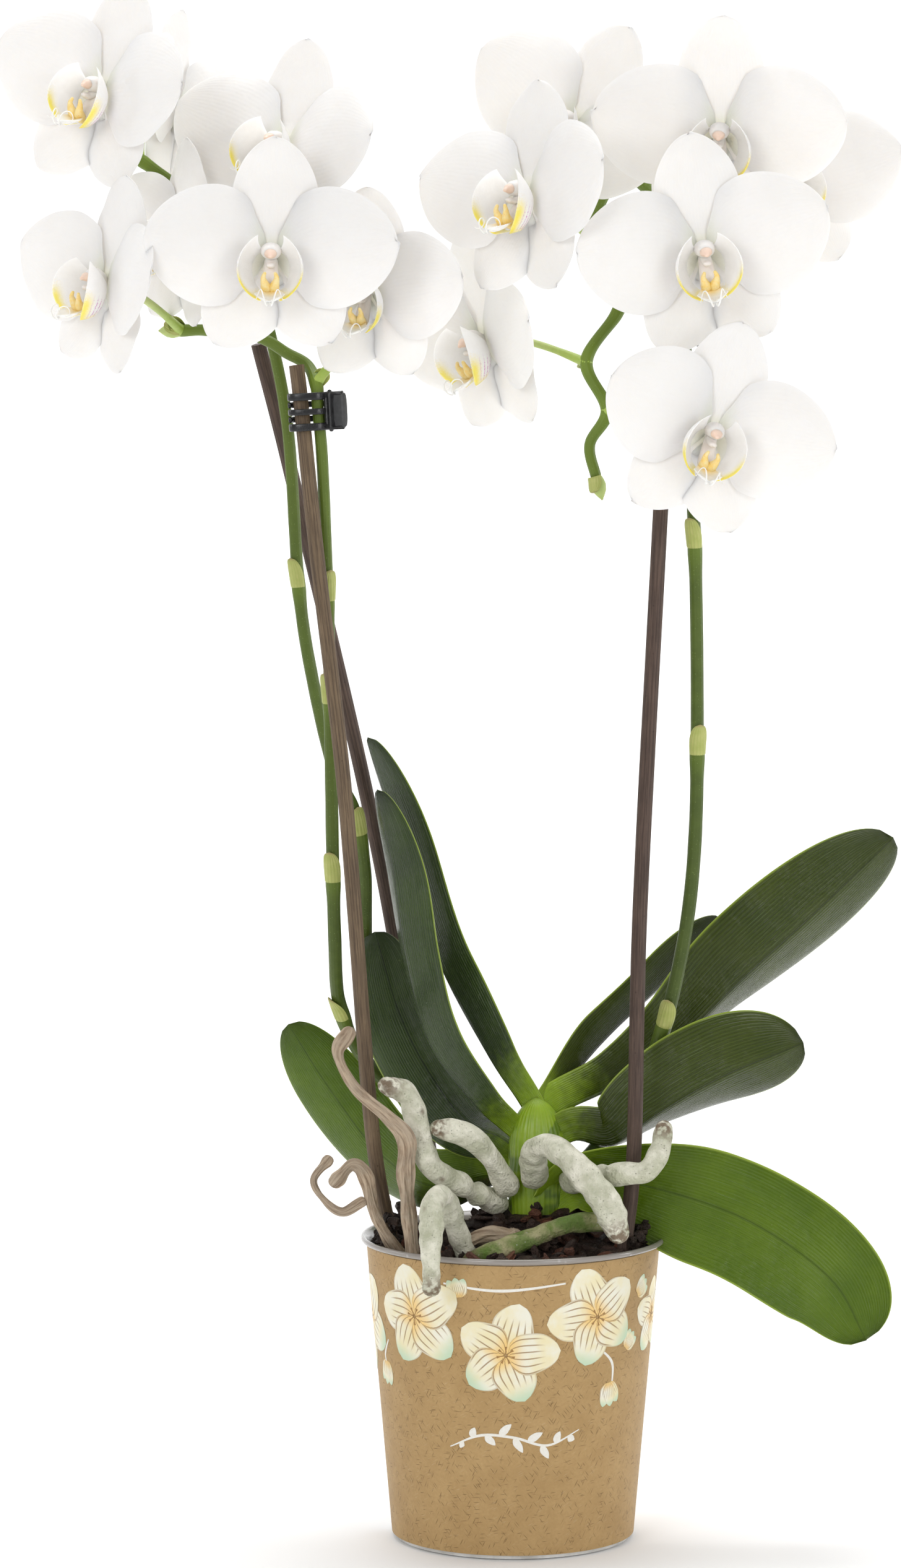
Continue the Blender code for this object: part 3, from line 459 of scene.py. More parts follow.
# Spikes: name and the points of the stem from foot to tip.
SPIKES = {
    "spike_left_front": [(-3, 9, 115), (-25, 23, 122), (-43, 20, 138), (-51, 8, 156),
                         (-52.5, -5, 180), (-53.5, -9, 240), (-54, -11, 272),
                         (-55.5, -13, 316), (-56.9, -14, 334), (-57.2, -13.6, 340),
                         (-60, -8, 346), (-66, -7.5, 349.5), (-74, -8, 354), (-88, 2, 356),
                         (-98, 6, 356)],
    "spike_left_back": [(1, 9, 118), (-20, 25, 133), (-34, 25, 152), (-43, 23, 168),
                        (-44, 18, 196), (-47, 14, 214), (-53, 12, 227), (-59, 9, 253),
                        (-63, 7, 280), (-66, 6, 326), (-71, 5, 354), (-77, 7, 373),
                        (-84, 8, 386), (-97, 6, 397), (-111, 4, 407)],
    "spike_right": [(18, 5, 108), (28, 7, 119), (37, 4, 133), (43, 0, 148), (47, -4, 163),
                    (51, -6, 185), (53, -8, 209), (53.4, -10, 240), (52.7, -12, 284),
                    (51, -15, 320), (48.8, -16, 358), (46, -10, 380), (43, 2, 392),
                    (34, 14, 401), (26, 14, 395), (24, 8, 382), (31, 2, 368),
                    (30, 0, 361), (21, -4, 347), (27, -6, 333), (22, -6, 323),
                    (24, -6, 313)],
}

# Flowers: number, middle of the flower, facing as turn / lift / roll in
# degrees, size as a factor of the flower sizes below, forward lean of the
# petals, the spike it grows on and the height of the stem point where its
# stalk leaves.
FLOWERS = [
    (1, (-119, -18, 424), (-32, 14, 12), 0.98, 18, "spike_left_back", (-111, 4, 407)),
    (2, (-99, 29, 420), (69, 5, 13), 0.93, 16, "spike_left_back", (-109, 4.3, 406)),
    (3, (-67, -15.5, 408), (-32, 20, 8), 1.00, 17, "spike_left_back", (-86, 8, 388)),
    (4, (-69, -50, 377), (0, 0, 1), 1.00, 14, "spike_left_front", (-83, -3, 356)),
    (5, (-117.2, -31.5, 369.7), (-50, 9, 10), 0.93, 18, "spike_left_front", (-98, 3, 357)),
    (6, (-97, -8.7, 382), (-54, 4, 8), 0.88, 15, "spike_left_front", (-88, 0, 357)),
    (7, (-42, -26, 367), (-24, -2, 2), 0.90, 14, "spike_left_front", (-58, -12, 340)),
    (8, (-9, 6, 353), (-54, -10, -6), 0.98, 16, "spike_right", (21, -4, 347)),
    (9, (3, -38, 394), (-44, 12, -2), 1.00, 16, "spike_right", (24, 6, 382)),
    (10, (16.4, 4.2, 415.3), (-29, 12, 29), 1.00, 14, "spike_right", (26, 13, 396)),
    (11, (58.5, -26, 412), (-6, -10, 2), 1.02, 14, "spike_right", (30, 14, 401)),
    (12, (53, -45, 378), (4, -4, -8), 1.02, 14, "spike_right", (31, 1, 363)),
    (13, (80, 14, 400), (12, 2, -2), 0.96, 14, "spike_right", (38, 9, 398)),
    (14, (55, -50, 327), (10, -4, 16), 0.98, 16, "spike_right", (27, -6, 333)),
]

# Sticks: name and the points of the straight or slightly bowed cane.
STICKS = {
    "stick_dark_left": [(-16, 31.5, 62), (-21.5, 31.5, 90), (-40, 32, 200), (-64, 21, 307),
                        (-75, 15, 352)],
    "stick_tan": [(-33.5, -7, 62), (-36.2, -9, 90), (-41.7, -14, 126), (-49, -19, 221),
                  (-57.2, -17, 292), (-61.6, -14, 334), (-63, -13, 346)],
    "stick_dark_right": [(30, -16.5, 62), (32.5, -18, 90), (35, -20, 118),
                         (36.5, -20.5, 188), (41.6, -18, 292), (44.0, -16.1, 340),
                         (44.1, -16, 358), (44.2, -15.9, 364)],
}

# Thick grey roots and thin dry ones: name, points, radius at foot and at tip.
ROOTS = [
    ("root_front", [(6, -9.5, 109), (6, -18, 117), (11, -25, 120), (19, -31, 114),
                    (26, -32.5, 105), (30, -33, 96)], 4.0, 4.3),
    ("root_right", [(17, -8, 107), (24, -18, 110), (31, -26, 112), (38, -27, 113),
                    (42, -26, 118), (43.5, -25, 125)], 3.5, 3.2),
    ("root_upright", [(-2, -8, 106), (-8, -17, 117), (-14, -22, 123),
                      (-22, -24, 125)], 3.6, 3.2),
    ("root_left", [(-5, -4, 100), (-17, -17, 108), (-25, -22, 115), (-28, -24, 126),
                   (-31, -25, 135), (-37, -27, 138)], 3.4, 3.4),
    ("root_over_rim", [(-14, -23, 87.4), (-20, -31, 105), (-23.5, -41, 106),
                       (-24, -49.5, 96), (-24, -50, 83)], 3.3, 3.0),
    ("root_mossy", [(29, -15, 96), (16, -20, 96.5), (4, -25, 92.5), (-5, -27.5, 89.5),
                    (-13, -28, 87)], 3.0, 2.8),
    ("dry_root_tall", [(-29, -22, 83.0), (-31.5, -26, 111), (-31.5, -31, 123),
                       (-37, -33, 130), (-46, -33, 138), (-51, -32, 148),
                       (-48, -32, 154)], 2.2, 1.8),
    ("dry_root_outer", [(-44.2, -20.5, 103), (-50, -21, 100), (-55, -20, 103),
                        (-58.5, -19, 109), (-54, -18, 115)], 1.2, 0.9),
    ("dry_root_curl", [(-33, -15.5, 85.5), (-40, -19, 98), (-43, -20, 110),
                       (-47, -21, 114), (-52, -21, 109)], 1.9, 1.5),
    ("bark_chip_top", [(-13, -20, 91.5), (-7, -20, 93.0), (0, -19, 92.5)], 2.4, 1.9),
]

# The crown: centre, half widths, and the heights of its foot and top.
CROWN_CENTRE = (7.0, 0.0)
CROWN_WIDTH, CROWN_DEPTH = 12.0, 8.0
CROWN_FOOT, CROWN_TOP = 85.2, 131.0
print(len(LEAVES), "leaves,", len(FLOWERS), "flowers,", len(ROOTS), "roots and scraps")

# %% [markdown]
# ## White petals
# A petal is a wet, thin tissue: white because its cells scatter light, a
# little green-yellow where it joins the hub, with a fan of faint veins.  A
# little subsurface light and a soft sheen keep it from looking like paper.


# %% Petal finish
def petal_finish():
    """Warm white, cooler in patches, with fine veins and cell sparkle."""
    made, tree, shader = finish_of("petal_white", Subsurface_Weight=0.45, Subsurface_Scale=0.0024,
                                   Subsurface_Radius=(1.0, 0.85, 0.7), Specular_IOR_Level=0.35,
                                   Sheen_Weight=0.08, Sheen_Roughness=0.4)
    veins = effect(tree, "veins", Count=13.0, Bend=0.9)
    mottle = effect(tree, "mottle", Size_mm=14.0, Contrast=0.3)
    white = blend_colour(tree, mottle["Mask"], (0.842, 0.824, 0.806), (0.815, 0.792, 0.770))
    foot = ramp(tree, veins["Along"], 0.20, 0.0, 0.0, 0.55)
    white = blend_colour(tree, foot, white, (0.72, 0.74, 0.52))
    rim = ramp(tree, veins["Across"], 0.90, 1.0, 0.0, 0.35)
    white = blend_colour(tree, rim, white, (0.85, 0.835, 0.82))
    rough = maths(tree, "MULTIPLY_ADD", mottle["Fine"], 0.22, 0.40)
    plug(tree, shader, white, rough, ((veins["Height"], 0.018), (mottle["Fine"], 0.05),
                                      (mottle["Mask"], 0.25)))
    return made


def lobe_finish():
    """White wing whose lower and front margin is yellow, with violet stripes
    near its foot.  Along runs from foot to top, across from back to front."""
    made, tree, shader = finish_of("lip_lobe", Subsurface_Weight=0.9, Subsurface_Scale=0.0030,
                                   Subsurface_Radius=(1.0, 0.95, 0.88),
                                   Specular_IOR_Level=0.4)
    along, over = map_parts(tree)
    tint = tint_of(tree)
    mottle = effect(tree, "mottle", Size_mm=3.0, Contrast=0.3)
    warm = maths(tree, "MULTIPLY_ADD", mottle["Fine"], 0.16, -0.08)
    front = ramp(tree, maths(tree, "ADD", over, warm), 0.45, 0.95)
    low = ramp(tree, maths(tree, "ADD", along, warm), 0.62, 0.34)
    yellow = maths(tree, "MULTIPLY", front, low, clamp=True)
    foot = ramp(tree, maths(tree, "ADD", along, warm), 0.22, 0.04, 0.0, 0.9)
    yellow = maths(tree, "MAXIMUM", yellow, foot)
    base = blend_colour(tree, mottle["Mask"], (0.90, 0.885, 0.865), (0.86, 0.84, 0.82))
    gold = blend_colour(tree, front, (0.92, 0.74, 0.26), (0.90, 0.62, 0.05))
    base = blend_colour(tree, yellow, base, gold)
    stripe = maths(tree, "SINE", maths(tree, "MULTIPLY", maths(tree, "ADD", over, warm), 30.0))
    stripe = ramp(tree, stripe, 0.62, 0.95)
    zone = maths(tree, "MULTIPLY", ramp(tree, along, 0.03, 0.10), ramp(tree, along, 0.55, 0.35))
    inner = maths(tree, "MULTIPLY", zone, ramp(tree, tint, 0.6, 0.4))
    inner = maths(tree, "MULTIPLY", inner, ramp(tree, over, 0.80, 0.55))
    violet = maths(tree, "MULTIPLY", stripe, inner)
    base = blend_colour(tree, maths(tree, "MULTIPLY", violet, 0.85), base, (0.56, 0.20, 0.46))
    plug(tree, shader, base, maths(tree, "MULTIPLY_ADD", mottle["Fine"], 0.2, 0.34),
         ((mottle["Fine"], 0.06), (violet, 0.05)))
    return made


def column_finish():
    """Ivory column that turns peach-pink at the anther cap and cream inside."""
    made, tree, shader = finish_of("lip_column", Subsurface_Weight=0.3, Subsurface_Scale=0.0012,
                                   Subsurface_Radius=(1.0, 0.8, 0.7))
    tint = tint_of(tree)
    mottle = effect(tree, "mottle", Size_mm=2.0, Contrast=0.3)
    base = blend_colour(tree, mottle["Mask"], (0.90, 0.875, 0.85), (0.86, 0.82, 0.79))
    base = blend_colour(tree, tint, base, (0.90, 0.68, 0.56))
    plug(tree, shader, base, maths(tree, "MULTIPLY_ADD", mottle["Fine"], 0.2, 0.3),
         ((mottle["Fine"], 0.05),))
    return made


def callus_finish():
    """Orange-yellow crest peppered with red-brown dots."""
    made, tree, shader = finish_of("lip_crest", Subsurface_Weight=0.1, Subsurface_Scale=0.001)
    mottle = effect(tree, "mottle", Size_mm=1.5, Contrast=0.3)
    dots = effect(tree, "specks", Size_mm=0.55, Share=0.45, Radius=0.34)
    base = blend_colour(tree, mottle["Mask"], (0.95, 0.66, 0.16), (0.95, 0.82, 0.46))
    base = blend_colour(tree, maths(tree, "MULTIPLY", dots["Mask"], 0.6), base, (0.80, 0.34, 0.10))
    plug(tree, shader, base, maths(tree, "MULTIPLY_ADD", mottle["Fine"], 0.2, 0.25),
         ((mottle["Fine"], 0.08),))
    return made


def apron_finish():
    """Front lobe of the lip and its tendrils: white, yellow towards its claw."""
    made, tree, shader = finish_of("lip_apron", Subsurface_Weight=0.25, Subsurface_Scale=0.0012,
                                   Subsurface_Radius=(1.0, 0.85, 0.7))
    tint = tint_of(tree)
    mottle = effect(tree, "mottle", Size_mm=2.5, Contrast=0.3)
    base = blend_colour(tree, mottle["Mask"], (0.92, 0.91, 0.88), (0.85, 0.84, 0.80))
    base = blend_colour(tree, ramp(tree, tint, 0.0, 1.0), base, (0.98, 0.68, 0.12))
    plug(tree, shader, base, maths(tree, "MULTIPLY_ADD", mottle["Fine"], 0.2, 0.32),
         ((mottle["Fine"], 0.06),))
    return made


FLOWER_FINISHES = [petal_finish(), lobe_finish(), column_finish(), callus_finish(), apron_finish()]
print("flower finishes:", [made.name for made in FLOWER_FINISHES])

# %% [markdown]
# ## The shape of a moth orchid flower
# Three sepals stand behind two broad petals.  Each tepal is a sheet over
# (share of its length, place across it): a narrow claw, a wide round blade
# that bows back at its margins, and a margin that waves a little.

# %% One tepal
# Sizes of a flower, in millimetres at size 1.
HUB_RADIUS = 2.5
PETAL_LENGTH, PETAL_HALF = 34.5, 17.2
SEPAL_LENGTH, SEPAL_HALF = 31.0, 12.2
LATERAL_LENGTH, LATERAL_HALF = 27.0, 11.6
TEPAL_THICK = 0.55
# Kind of tepal: the powers p and q of its outline, how strongly its width bows
# back, how far its tip curls back and the share of its length that is claw.
TEPAL_KINDS = {"petal": (0.86, 0.50, 0.17, -2.2, 0.24), "dorsal": (0.92, 0.52, 0.12, 0.8, 0.16),
               "lateral": (0.92, 0.52, 0.16, -1.0, 0.16)}


def tepal(angle, length, half, lean, back_set, kind, seed):
    """Half width = half * sin(pi * s^p)^q, narrowed to a claw near the foot;
    depth = lean + arch of the length - bow of the width + a wave that grows
    towards the margin.  Stations crowd towards the tip, where the outline
    turns most."""
    draw = np.random.default_rng(seed)
    rows, cols = 38, 19
    t = np.linspace(0, 1, rows)
    s = (1 - (1 - t) ** 1.9)[:, None]
    w = np.linspace(-1, 1, cols)[None, :]
    power, blunt, bow, curl, claw_share = TEPAL_KINDS[kind]
    body = np.sin(np.pi * np.minimum(s, 1.0) ** power).clip(0) ** blunt
    claw = np.clip(s / claw_share, 0, 1)
    claw = 0.50 + 0.50 * claw * claw * (3 - 2 * claw)
    wide = 1.7 * (1 - s) * np.clip(1 - s / 0.12, 0, 1) ** 0.5 + half * body * claw
    side_skew = draw.normal(0, 0.03) + (0.05 if kind == "lateral" else 0.0)
    place = w * wide * (1 + side_skew * w)
    a = math.radians(angle)
    out = np.array([math.cos(a), math.sin(a), 0])
    side = np.array([-math.sin(a), math.cos(a), 0])
    settle = np.clip(s / 0.2, 0, 1)
    rise = math.tan(math.radians(lean))
    phase = draw.uniform(0, 2 * np.pi, 3)
    wave = (0.75 * np.sin(2 * np.pi * 1.3 * s + phase[0] + 2.2 * w)
            + 0.35 * np.sin(2 * np.pi * 3.1 * s + phase[1] - 1.5 * w))
    depth = (rise * length * s + back_set * settle - bow * half * w ** 2 * body * settle
             + curl * s ** 3 + 2.2 * np.sin(np.pi * s) * (0.5 if kind == "petal" else 0.25)
             + wave * (0.25 + 0.9 * w ** 2) * s * (1.15 - s) * 1.5)
    twist = math.radians(draw.normal(0, 3) + (7 if kind == "lateral" else 0) * np.sign(out[0]))
    depth = depth + place * np.sin(twist) * s
    reach = HUB_RADIUS * 0.55 + (length + HUB_RADIUS * 0.45) * s * math.cos(math.radians(lean))
    tip = 0.015 * half * np.sin(np.pi * w) * s ** 6 * draw.normal(0, 1)
    points = (reach + tip)[..., None] * out + place[..., None] * side \
        + depth[..., None] * np.array([0, 0, 1.0])
    return points, s * np.ones_like(w), w * np.ones_like(s)


def petals_of(lean, seed):
    """The five tepals of one flower as closed sheets in its own directions."""
    draw = np.random.default_rng(seed)
    nudge = draw.normal(0, 1, 5)
    plan = [(90 + 2 * nudge[0], SEPAL_LENGTH, SEPAL_HALF, 5.0, -1.9, "dorsal"),
            (238 + 2 * nudge[1], LATERAL_LENGTH, LATERAL_HALF, 3.0, -2.1, "lateral"),
            (302 + 2 * nudge[2], LATERAL_LENGTH, LATERAL_HALF, 3.0, -2.3, "lateral"),
            (170 + 1.5 * nudge[3], PETAL_LENGTH, PETAL_HALF, lean, 0.25, "petal"),
            (10 + 1.5 * nudge[4], PETAL_LENGTH, PETAL_HALF, lean, 0.0, "petal")]
    sheets = []
    for k, row in enumerate(plan):
        middle, s, w = tepal(*row, seed * 7 + k)
        sheets.append(blade(middle, TEPAL_THICK, np.stack([s, w], -1), 0, 0.3))
    return sheets


print("a flower has", len(petals_of(0.0, 1)), "tepals")

# %% [markdown]
# The lip is a separate organ: two wings that curl up like a bowl round the
# column, a crest of two horns between them, and a small front lobe that ends
# in two thread-like tendrils.  The wings are patches of a flared bowl.


# %% The lip and column
def wing(sign):
    """Bowl patch: angle runs up the side, depth runs forward; the bowl is about
    5 mm from middle to side at its back and 9 mm at its rim, and its front
    edge reaches furthest near the middle of its height."""
    a = np.radians(np.linspace(-74, 66, 30))[:, None]
    d = np.linspace(0, 1, 15)[None, :]
    top = (a - a[0]) / (a[-1] - a[0])
    forward = 2.4 + d * (5.2 + 5.0 * np.cos(1.15 * (a - 0.1)).clip(0) ** 0.8)
    wide = 5.4 + 3.6 * np.sin(np.pi * 0.62 * d) - 1.0 * top ** 2 * d
    tall = 7.2 + 2.2 * d
    x = sign * wide * np.cos(a) * (1 + 0.10 * top * d)
    y = -3.6 + tall * np.sin(a) * (1 - 0.25 * top * (1 - d)) + 0.9 * top ** 3 * d
    z = forward + 0.0 * x
    middle = np.stack([x, y, z], -1)
    maps = np.stack([top * np.ones_like(d), d * np.ones_like(a)], -1)
    inside = (np.ones_like(maps[..., 0]), np.zeros_like(maps[..., 0]))
    if sign > 0:
        inside = inside[::-1]
    return blade(middle, 0.5, maps, 1, 0.35, tint=inside)


def apron():
    """Front lobe: an arrow-shaped keel with turned-up sides."""
    s = np.linspace(0, 1, 22)[:, None]
    w = np.linspace(-1, 1, 11)[None, :]
    line = smooth_line([(0, -8.6, 5.0), (0, -10.6, 8.0), (0, -12.4, 11.2), (0, -12.8, 14.6)], 22)
    wide = np.interp(s[:, 0], [0, .25, .5, .68, .85, 1.0], [1.8, 2.4, 3.6, 4.4, 2.6, .5])[:, None]
    x = w * wide
    y = line[:, 1:2] + 0.42 * np.abs(w) ** 1.6 * wide
    z = line[:, 2:3] - 0.10 * w ** 2 * wide
    tint = np.clip(1.15 - 1.7 * s, 0, 1) * np.ones_like(w)
    return blade(np.stack([x, y, z + 0 * x], -1), 0.7, None, 4, 0.4, tint=(tint, tint))


def lip_surfaces():
    """Column, anther cap, wings, crest, front lobe and tendrils."""
    parts = [wing(1.0), wing(-1.0), apron()]
    stem = smooth_line([(0, 0.2, 0.0), (0, 1.2, 2.6), (0, 1.5, 3.9), (0, 1.3, 5.0)], 16)
    girth = np.interp(np.linspace(0, 1, 16), [0, .3, .75, 1.0], [1.9, 2.4, 3.0, 2.8])
    parts.append(swept(stem, girth, 20, (1, 0, 0), 0.82, material=2))
    cap = smooth_line([(0, 0.9, 6.4), (0, 0.5, 7.6), (0, 0.0, 8.6)], 8)
    parts.append(swept(cap, [1.5, 1.7, 1.8, 1.75, 1.6, 1.4, 1.1, .8], 16, (1, 0, 0), 0.8,
                       material=2, tint=np.ones(8)))
    hollow = smooth_line([(0, -1.0, 3.0), (0, -2.4, 5.0), (0, -2.6, 6.6)], 8)
    parts.append(swept(hollow, np.linspace(1.6, 1.2, 8), 14, (1, 0, 0), 0.7, material=2,
                       tint=np.zeros(8)))
    claw = smooth_line([(0, -1.6, 2.0), (0, -5.0, 3.2), (0, -8.6, 5.0)], 8)
    parts.append(swept(claw, np.linspace(1.9, 2.6, 8), 14, (1, 0, 0), 0.6, material=2,
                       tint=np.full(8, 0.1)))
    for sign in (-1, 1):
        horn = smooth_line([(sign * 0.7, -9.4, 5.6), (sign * 1.3, -8.3, 8.2),
                            (sign * 1.9, -6.2, 9.6), (sign * 1.5, -4.9, 9.8)], 14)
        parts.append(swept(horn, np.interp(np.linspace(0, 1, 14), [0, .35, .8, 1],
                                           [1.5, 1.55, 0.75, 0.5]), 12, material=3))
        turn = np.linspace(0.2, 2 * np.pi * 1.08, 44)
        ring = np.stack([sign * (0.5 + 0.55 * turn), -12.0 - 1.8 * np.cos(turn - 0.2) + 0.25 * turn,
                         14.4 + 1.8 * np.sin(turn - 0.2)], -1)
        tip = np.vstack([[(sign * 0.2, -12.9, 14.0)], ring])
        parts.append(swept(smooth_line(tip, 60), np.linspace(0.28, 0.11, 60), 8, (1, 0, 0),
                           material=4))
    return parts


LIP = lip_surfaces()
print("a lip has", len(LIP), "surfaces")

# %% [markdown]
# Fourteen flowers share these formulas; each has its own place, facing, size,
# forward lean and a seed that varies its waves.


# %% Fourteen flowers
def facing_matrix(facing):
    """Columns are the flower's right, up and forward directions."""
    turn, lift, roll = (math.radians(v) for v in facing)
    c, s = math.cos, math.sin
    stand = np.array([[1, 0, 0], [0, 0, -1], [0, 1, 0]], float)
    about_z = np.array([[c(turn), -s(turn), 0], [s(turn), c(turn), 0], [0, 0, 1]])
    about_x = np.array([[1, 0, 0], [0, c(lift), s(lift)], [0, -s(lift), c(lift)]])
    about_f = np.array([[c(roll), s(roll), 0], [-s(roll), c(roll), 0], [0, 0, 1]])
    return about_z @ stand @ about_x @ about_f


def placed(surfaces, place, facing, size):
    """Turn, scale and move grids into the plant."""
    turn = facing_matrix(facing) * size
    return [(p @ turn.T + np.array(place, float), m, k, t) for p, m, k, t in surfaces]


for number, place, facing, size, lean, *_ in FLOWERS:
    tag = "flower_%02d" % number
    piece(tag + "_petals", placed(petals_of(lean, number), place, facing, size),
          FLOWER_FINISHES, [tag + "_tepals"])
    piece(tag + "_heart", placed(LIP, place, facing, size), FLOWER_FINISHES,
          [tag + "_lip"])

# %% [markdown]
# ## Strap leaves
# Orchid leaves are thick, leathery straps folded along a groove.  Their foot
# is narrow and pale where it clasps the stem; the blade is dark green with
# fine lines from foot to tip, small scars and a thin bright edge.


# %% Leaf finish
def leaf_finish(name, dark, light, gloss=0.30):
    """Two greens in clouds, lime at the foot and edge, lined and scarred,
    with painted shade along the midrib crease.
    """
    made, tree, shader = finish_of(name, Specular_IOR_Level=gloss)
    along, over = map_parts(tree)
    tint = tint_of(tree)
    veins = effect(tree, "veins", Count=17.0, Bend=0.5)
    fine = effect(tree, "veins", Count=47.0, Bend=0.8)
    mottle = effect(tree, "mottle", Size_mm=16.0, Contrast=0.25)
    specks = effect(tree, "specks", Size_mm=2.6, Share=0.10, Radius=0.12)
    scratch = node(tree, "ShaderNodeTexNoise", {"Vector": node(
        tree, "ShaderNodeCombineXYZ", {0: maths(tree, "MULTIPLY", along, 5.0),
                                       1: maths(tree, "MULTIPLY", over, 60.0), 2: tint}).outputs[0],
        "Scale": 1.0, "Detail": 3.0}).outputs[0]
    green = blend_colour(tree, mottle["Mask"], dark, light)
    green = blend_colour(tree, maths(tree, "MULTIPLY", veins["Height"], 0.16), green,
                         (0.12, 0.17, 0.02))
    under = maths(tree, "MULTIPLY", ramp(tree, tint, 0.4, 0.6), 0.45)
    green = blend_colour(tree, under, green, (0.15, 0.19, 0.06))
    foot = ramp(tree, maths(tree, "MULTIPLY_ADD", mottle["Fine"], 0.10, along), 0.26, 0.07)
    green = blend_colour(tree, foot, green, (0.25, 0.38, 0.016))
    rim = ramp(tree, maths(tree, "ABSOLUTE", over), 0.955, 1.0, 0.0, 0.85)
    green = blend_colour(tree, rim, green, (0.30, 0.40, 0.05))
    # painted shade: the blade goes to half its dark green along the midrib, where the fold's crease
    # lies in shade
    crease_shade = ramp(tree, maths(tree, "ABSOLUTE", over), 0.045, 0.0, 0.0, 0.55)
    green = blend_colour(tree, crease_shade, green, tuple(0.5 * c for c in dark))
    streak = ramp(tree, scratch, 0.60, 0.74, 0.0, 0.30)
    green = blend_colour(tree, streak, green, (0.16, 0.22, 0.12))
    green = blend_colour(tree, maths(tree, "MULTIPLY", specks["Mask"], 0.35), green,
                         (0.22, 0.25, 0.09))
    rough = maths(tree, "MULTIPLY_ADD", mottle["Fine"], 0.20, 0.12)
    rough = maths(tree, "MULTIPLY_ADD", streak, 0.5, rough)
    plug(tree, shader, green, rough, ((veins["Height"], 0.10), (fine["Height"], 0.05),
                                      (mottle["Fine"], 0.10), (mottle["Mask"], 0.5)))
    return made


print("leaf finish ready")

# %% [markdown]
# The blade is one sheet over (share of its length, place across it).  Two
# halves fold along the midrib, steeply where they clasp the crown and more
# gently towards the tip, which a flat outline could not show.

# %% Leaf shape
LEAF_THICK = 2.2
CLASP_FOLD = 0.75  # extra fold at the very foot, radians


def strap_leaf(midrib, half, turn_foot, turn_tip, fold, rise, seed):
    """Across the blade each half leaves the midrib at the fold angle and bows
    towards its margin.  Half width = half * (0.46 + 0.54 * smooth rise) *
    sqrt(1 - end^2.3), where end runs from 0 to 1 over the last third; a slow
    wave runs along both margins."""
    draw = np.random.default_rng(seed)
    rows, cols = 84, 25
    t = np.linspace(0, 1, rows)
    s = t + 0.06 * np.sin(np.pi * t) * t
    s = s / s[-1]
    fine = smooth_line(midrib, 400)
    path = np.stack([np.interp(s * 399, np.arange(400), fine[:, k]) for k in range(3)], 1)
    along = np.gradient(path, axis=0)
    along /= np.linalg.norm(along, axis=1)[:, None]
    normal = np.array([0.0, -1.0, 0.0]) - along * (-along[:, 1:2])
    normal /= np.linalg.norm(normal, axis=1)[:, None]
    side = np.cross(normal, along)
    turn = np.radians(turn_foot + (turn_tip - turn_foot) * s)[:, None]
    normal, side = (np.cos(turn) * normal + np.sin(turn) * side,
                    np.cos(turn) * side - np.sin(turn) * normal)
    grow = np.clip(s / rise, 0, 1)
    grow = grow * grow * (3 - 2 * grow)
    end = np.clip((s - 0.64) / 0.36, 0, 1)
    width = half * (0.46 + 0.54 * grow) * np.sqrt(np.maximum(0, 1 - end ** 2.3))
    w = np.linspace(-1, 1, cols)[None, :]
    clasp = CLASP_FOLD * np.sign(fold) * np.exp(-s / 0.10)
    bend = (math.radians(fold) * (1.35 - 0.55 * s) + clasp)[:, None]
    fan = np.sqrt(w * w + 0.004) - math.sqrt(0.004)
    phase = draw.uniform(0, 2 * np.pi, 2)
    wave = np.sin(2 * np.pi * 1.6 * s[:, None] + phase[0] + 1.3 * np.sign(w))
    wave = 0.028 * half * wave * w ** 2
    wide = width[:, None]
    flat = w * wide * np.cos(bend)
    deep = fan * wide * np.sin(bend) + 0.10 * w ** 4 * wide * (1 if fold > 0 else -1) - wave
    middle = path[:, None, :] + side[:, None, :] * flat[..., None] \
        - normal[:, None, :] * deep[..., None]
    thick = LEAF_THICK * (1.0 - 0.5 * s)[:, None] * (1 - 0.35 * np.abs(w))
    maps = np.stack([s[:, None] * np.ones_like(w), w * np.ones((rows, 1))], -1)
    return blade(middle, thick, maps, 0, 0.22)


LEAF_FINISHES = {"left": leaf_finish("leaf_dark", (0.009, 0.025, 0.001), (0.024, 0.050, 0.003),
                                     0.45),
                 "right": leaf_finish("leaf_mid", (0.026, 0.040, 0.002), (0.042, 0.058, 0.004)),
                 "bright": leaf_finish("leaf_bright", (0.062, 0.118, 0.002), (0.092, 0.158, 0.004))}
BRIGHT_LEAVES = ("leaf_left_low", "leaf_right_hanging")
for count, (name, midrib, half, turn_foot, turn_tip, fold, rise) in enumerate(LEAVES):
    heart = np.array(CROWN_CENTRE + (midrib[0][2] - 2.0,))
    finish = LEAF_FINISHES["bright" if name in BRIGHT_LEAVES else name.split("_")[1]]
    foot = 0.8 * heart + 0.2 * np.array(midrib[0], float) - np.array([0, 0, 5.0])
    line = [tuple(foot)] + list(midrib)
    piece(name + "_blade", [strap_leaf(line, half, turn_foot, turn_tip, fold, rise, 40 + count)],
          [finish], [name])

# %% [markdown]
# ## The crown
# Where the leaves meet, their feet wrap one another as bright sheaths.  The
# crown is a flattened column with a round top, and its radius steps outward at
# each overlap.


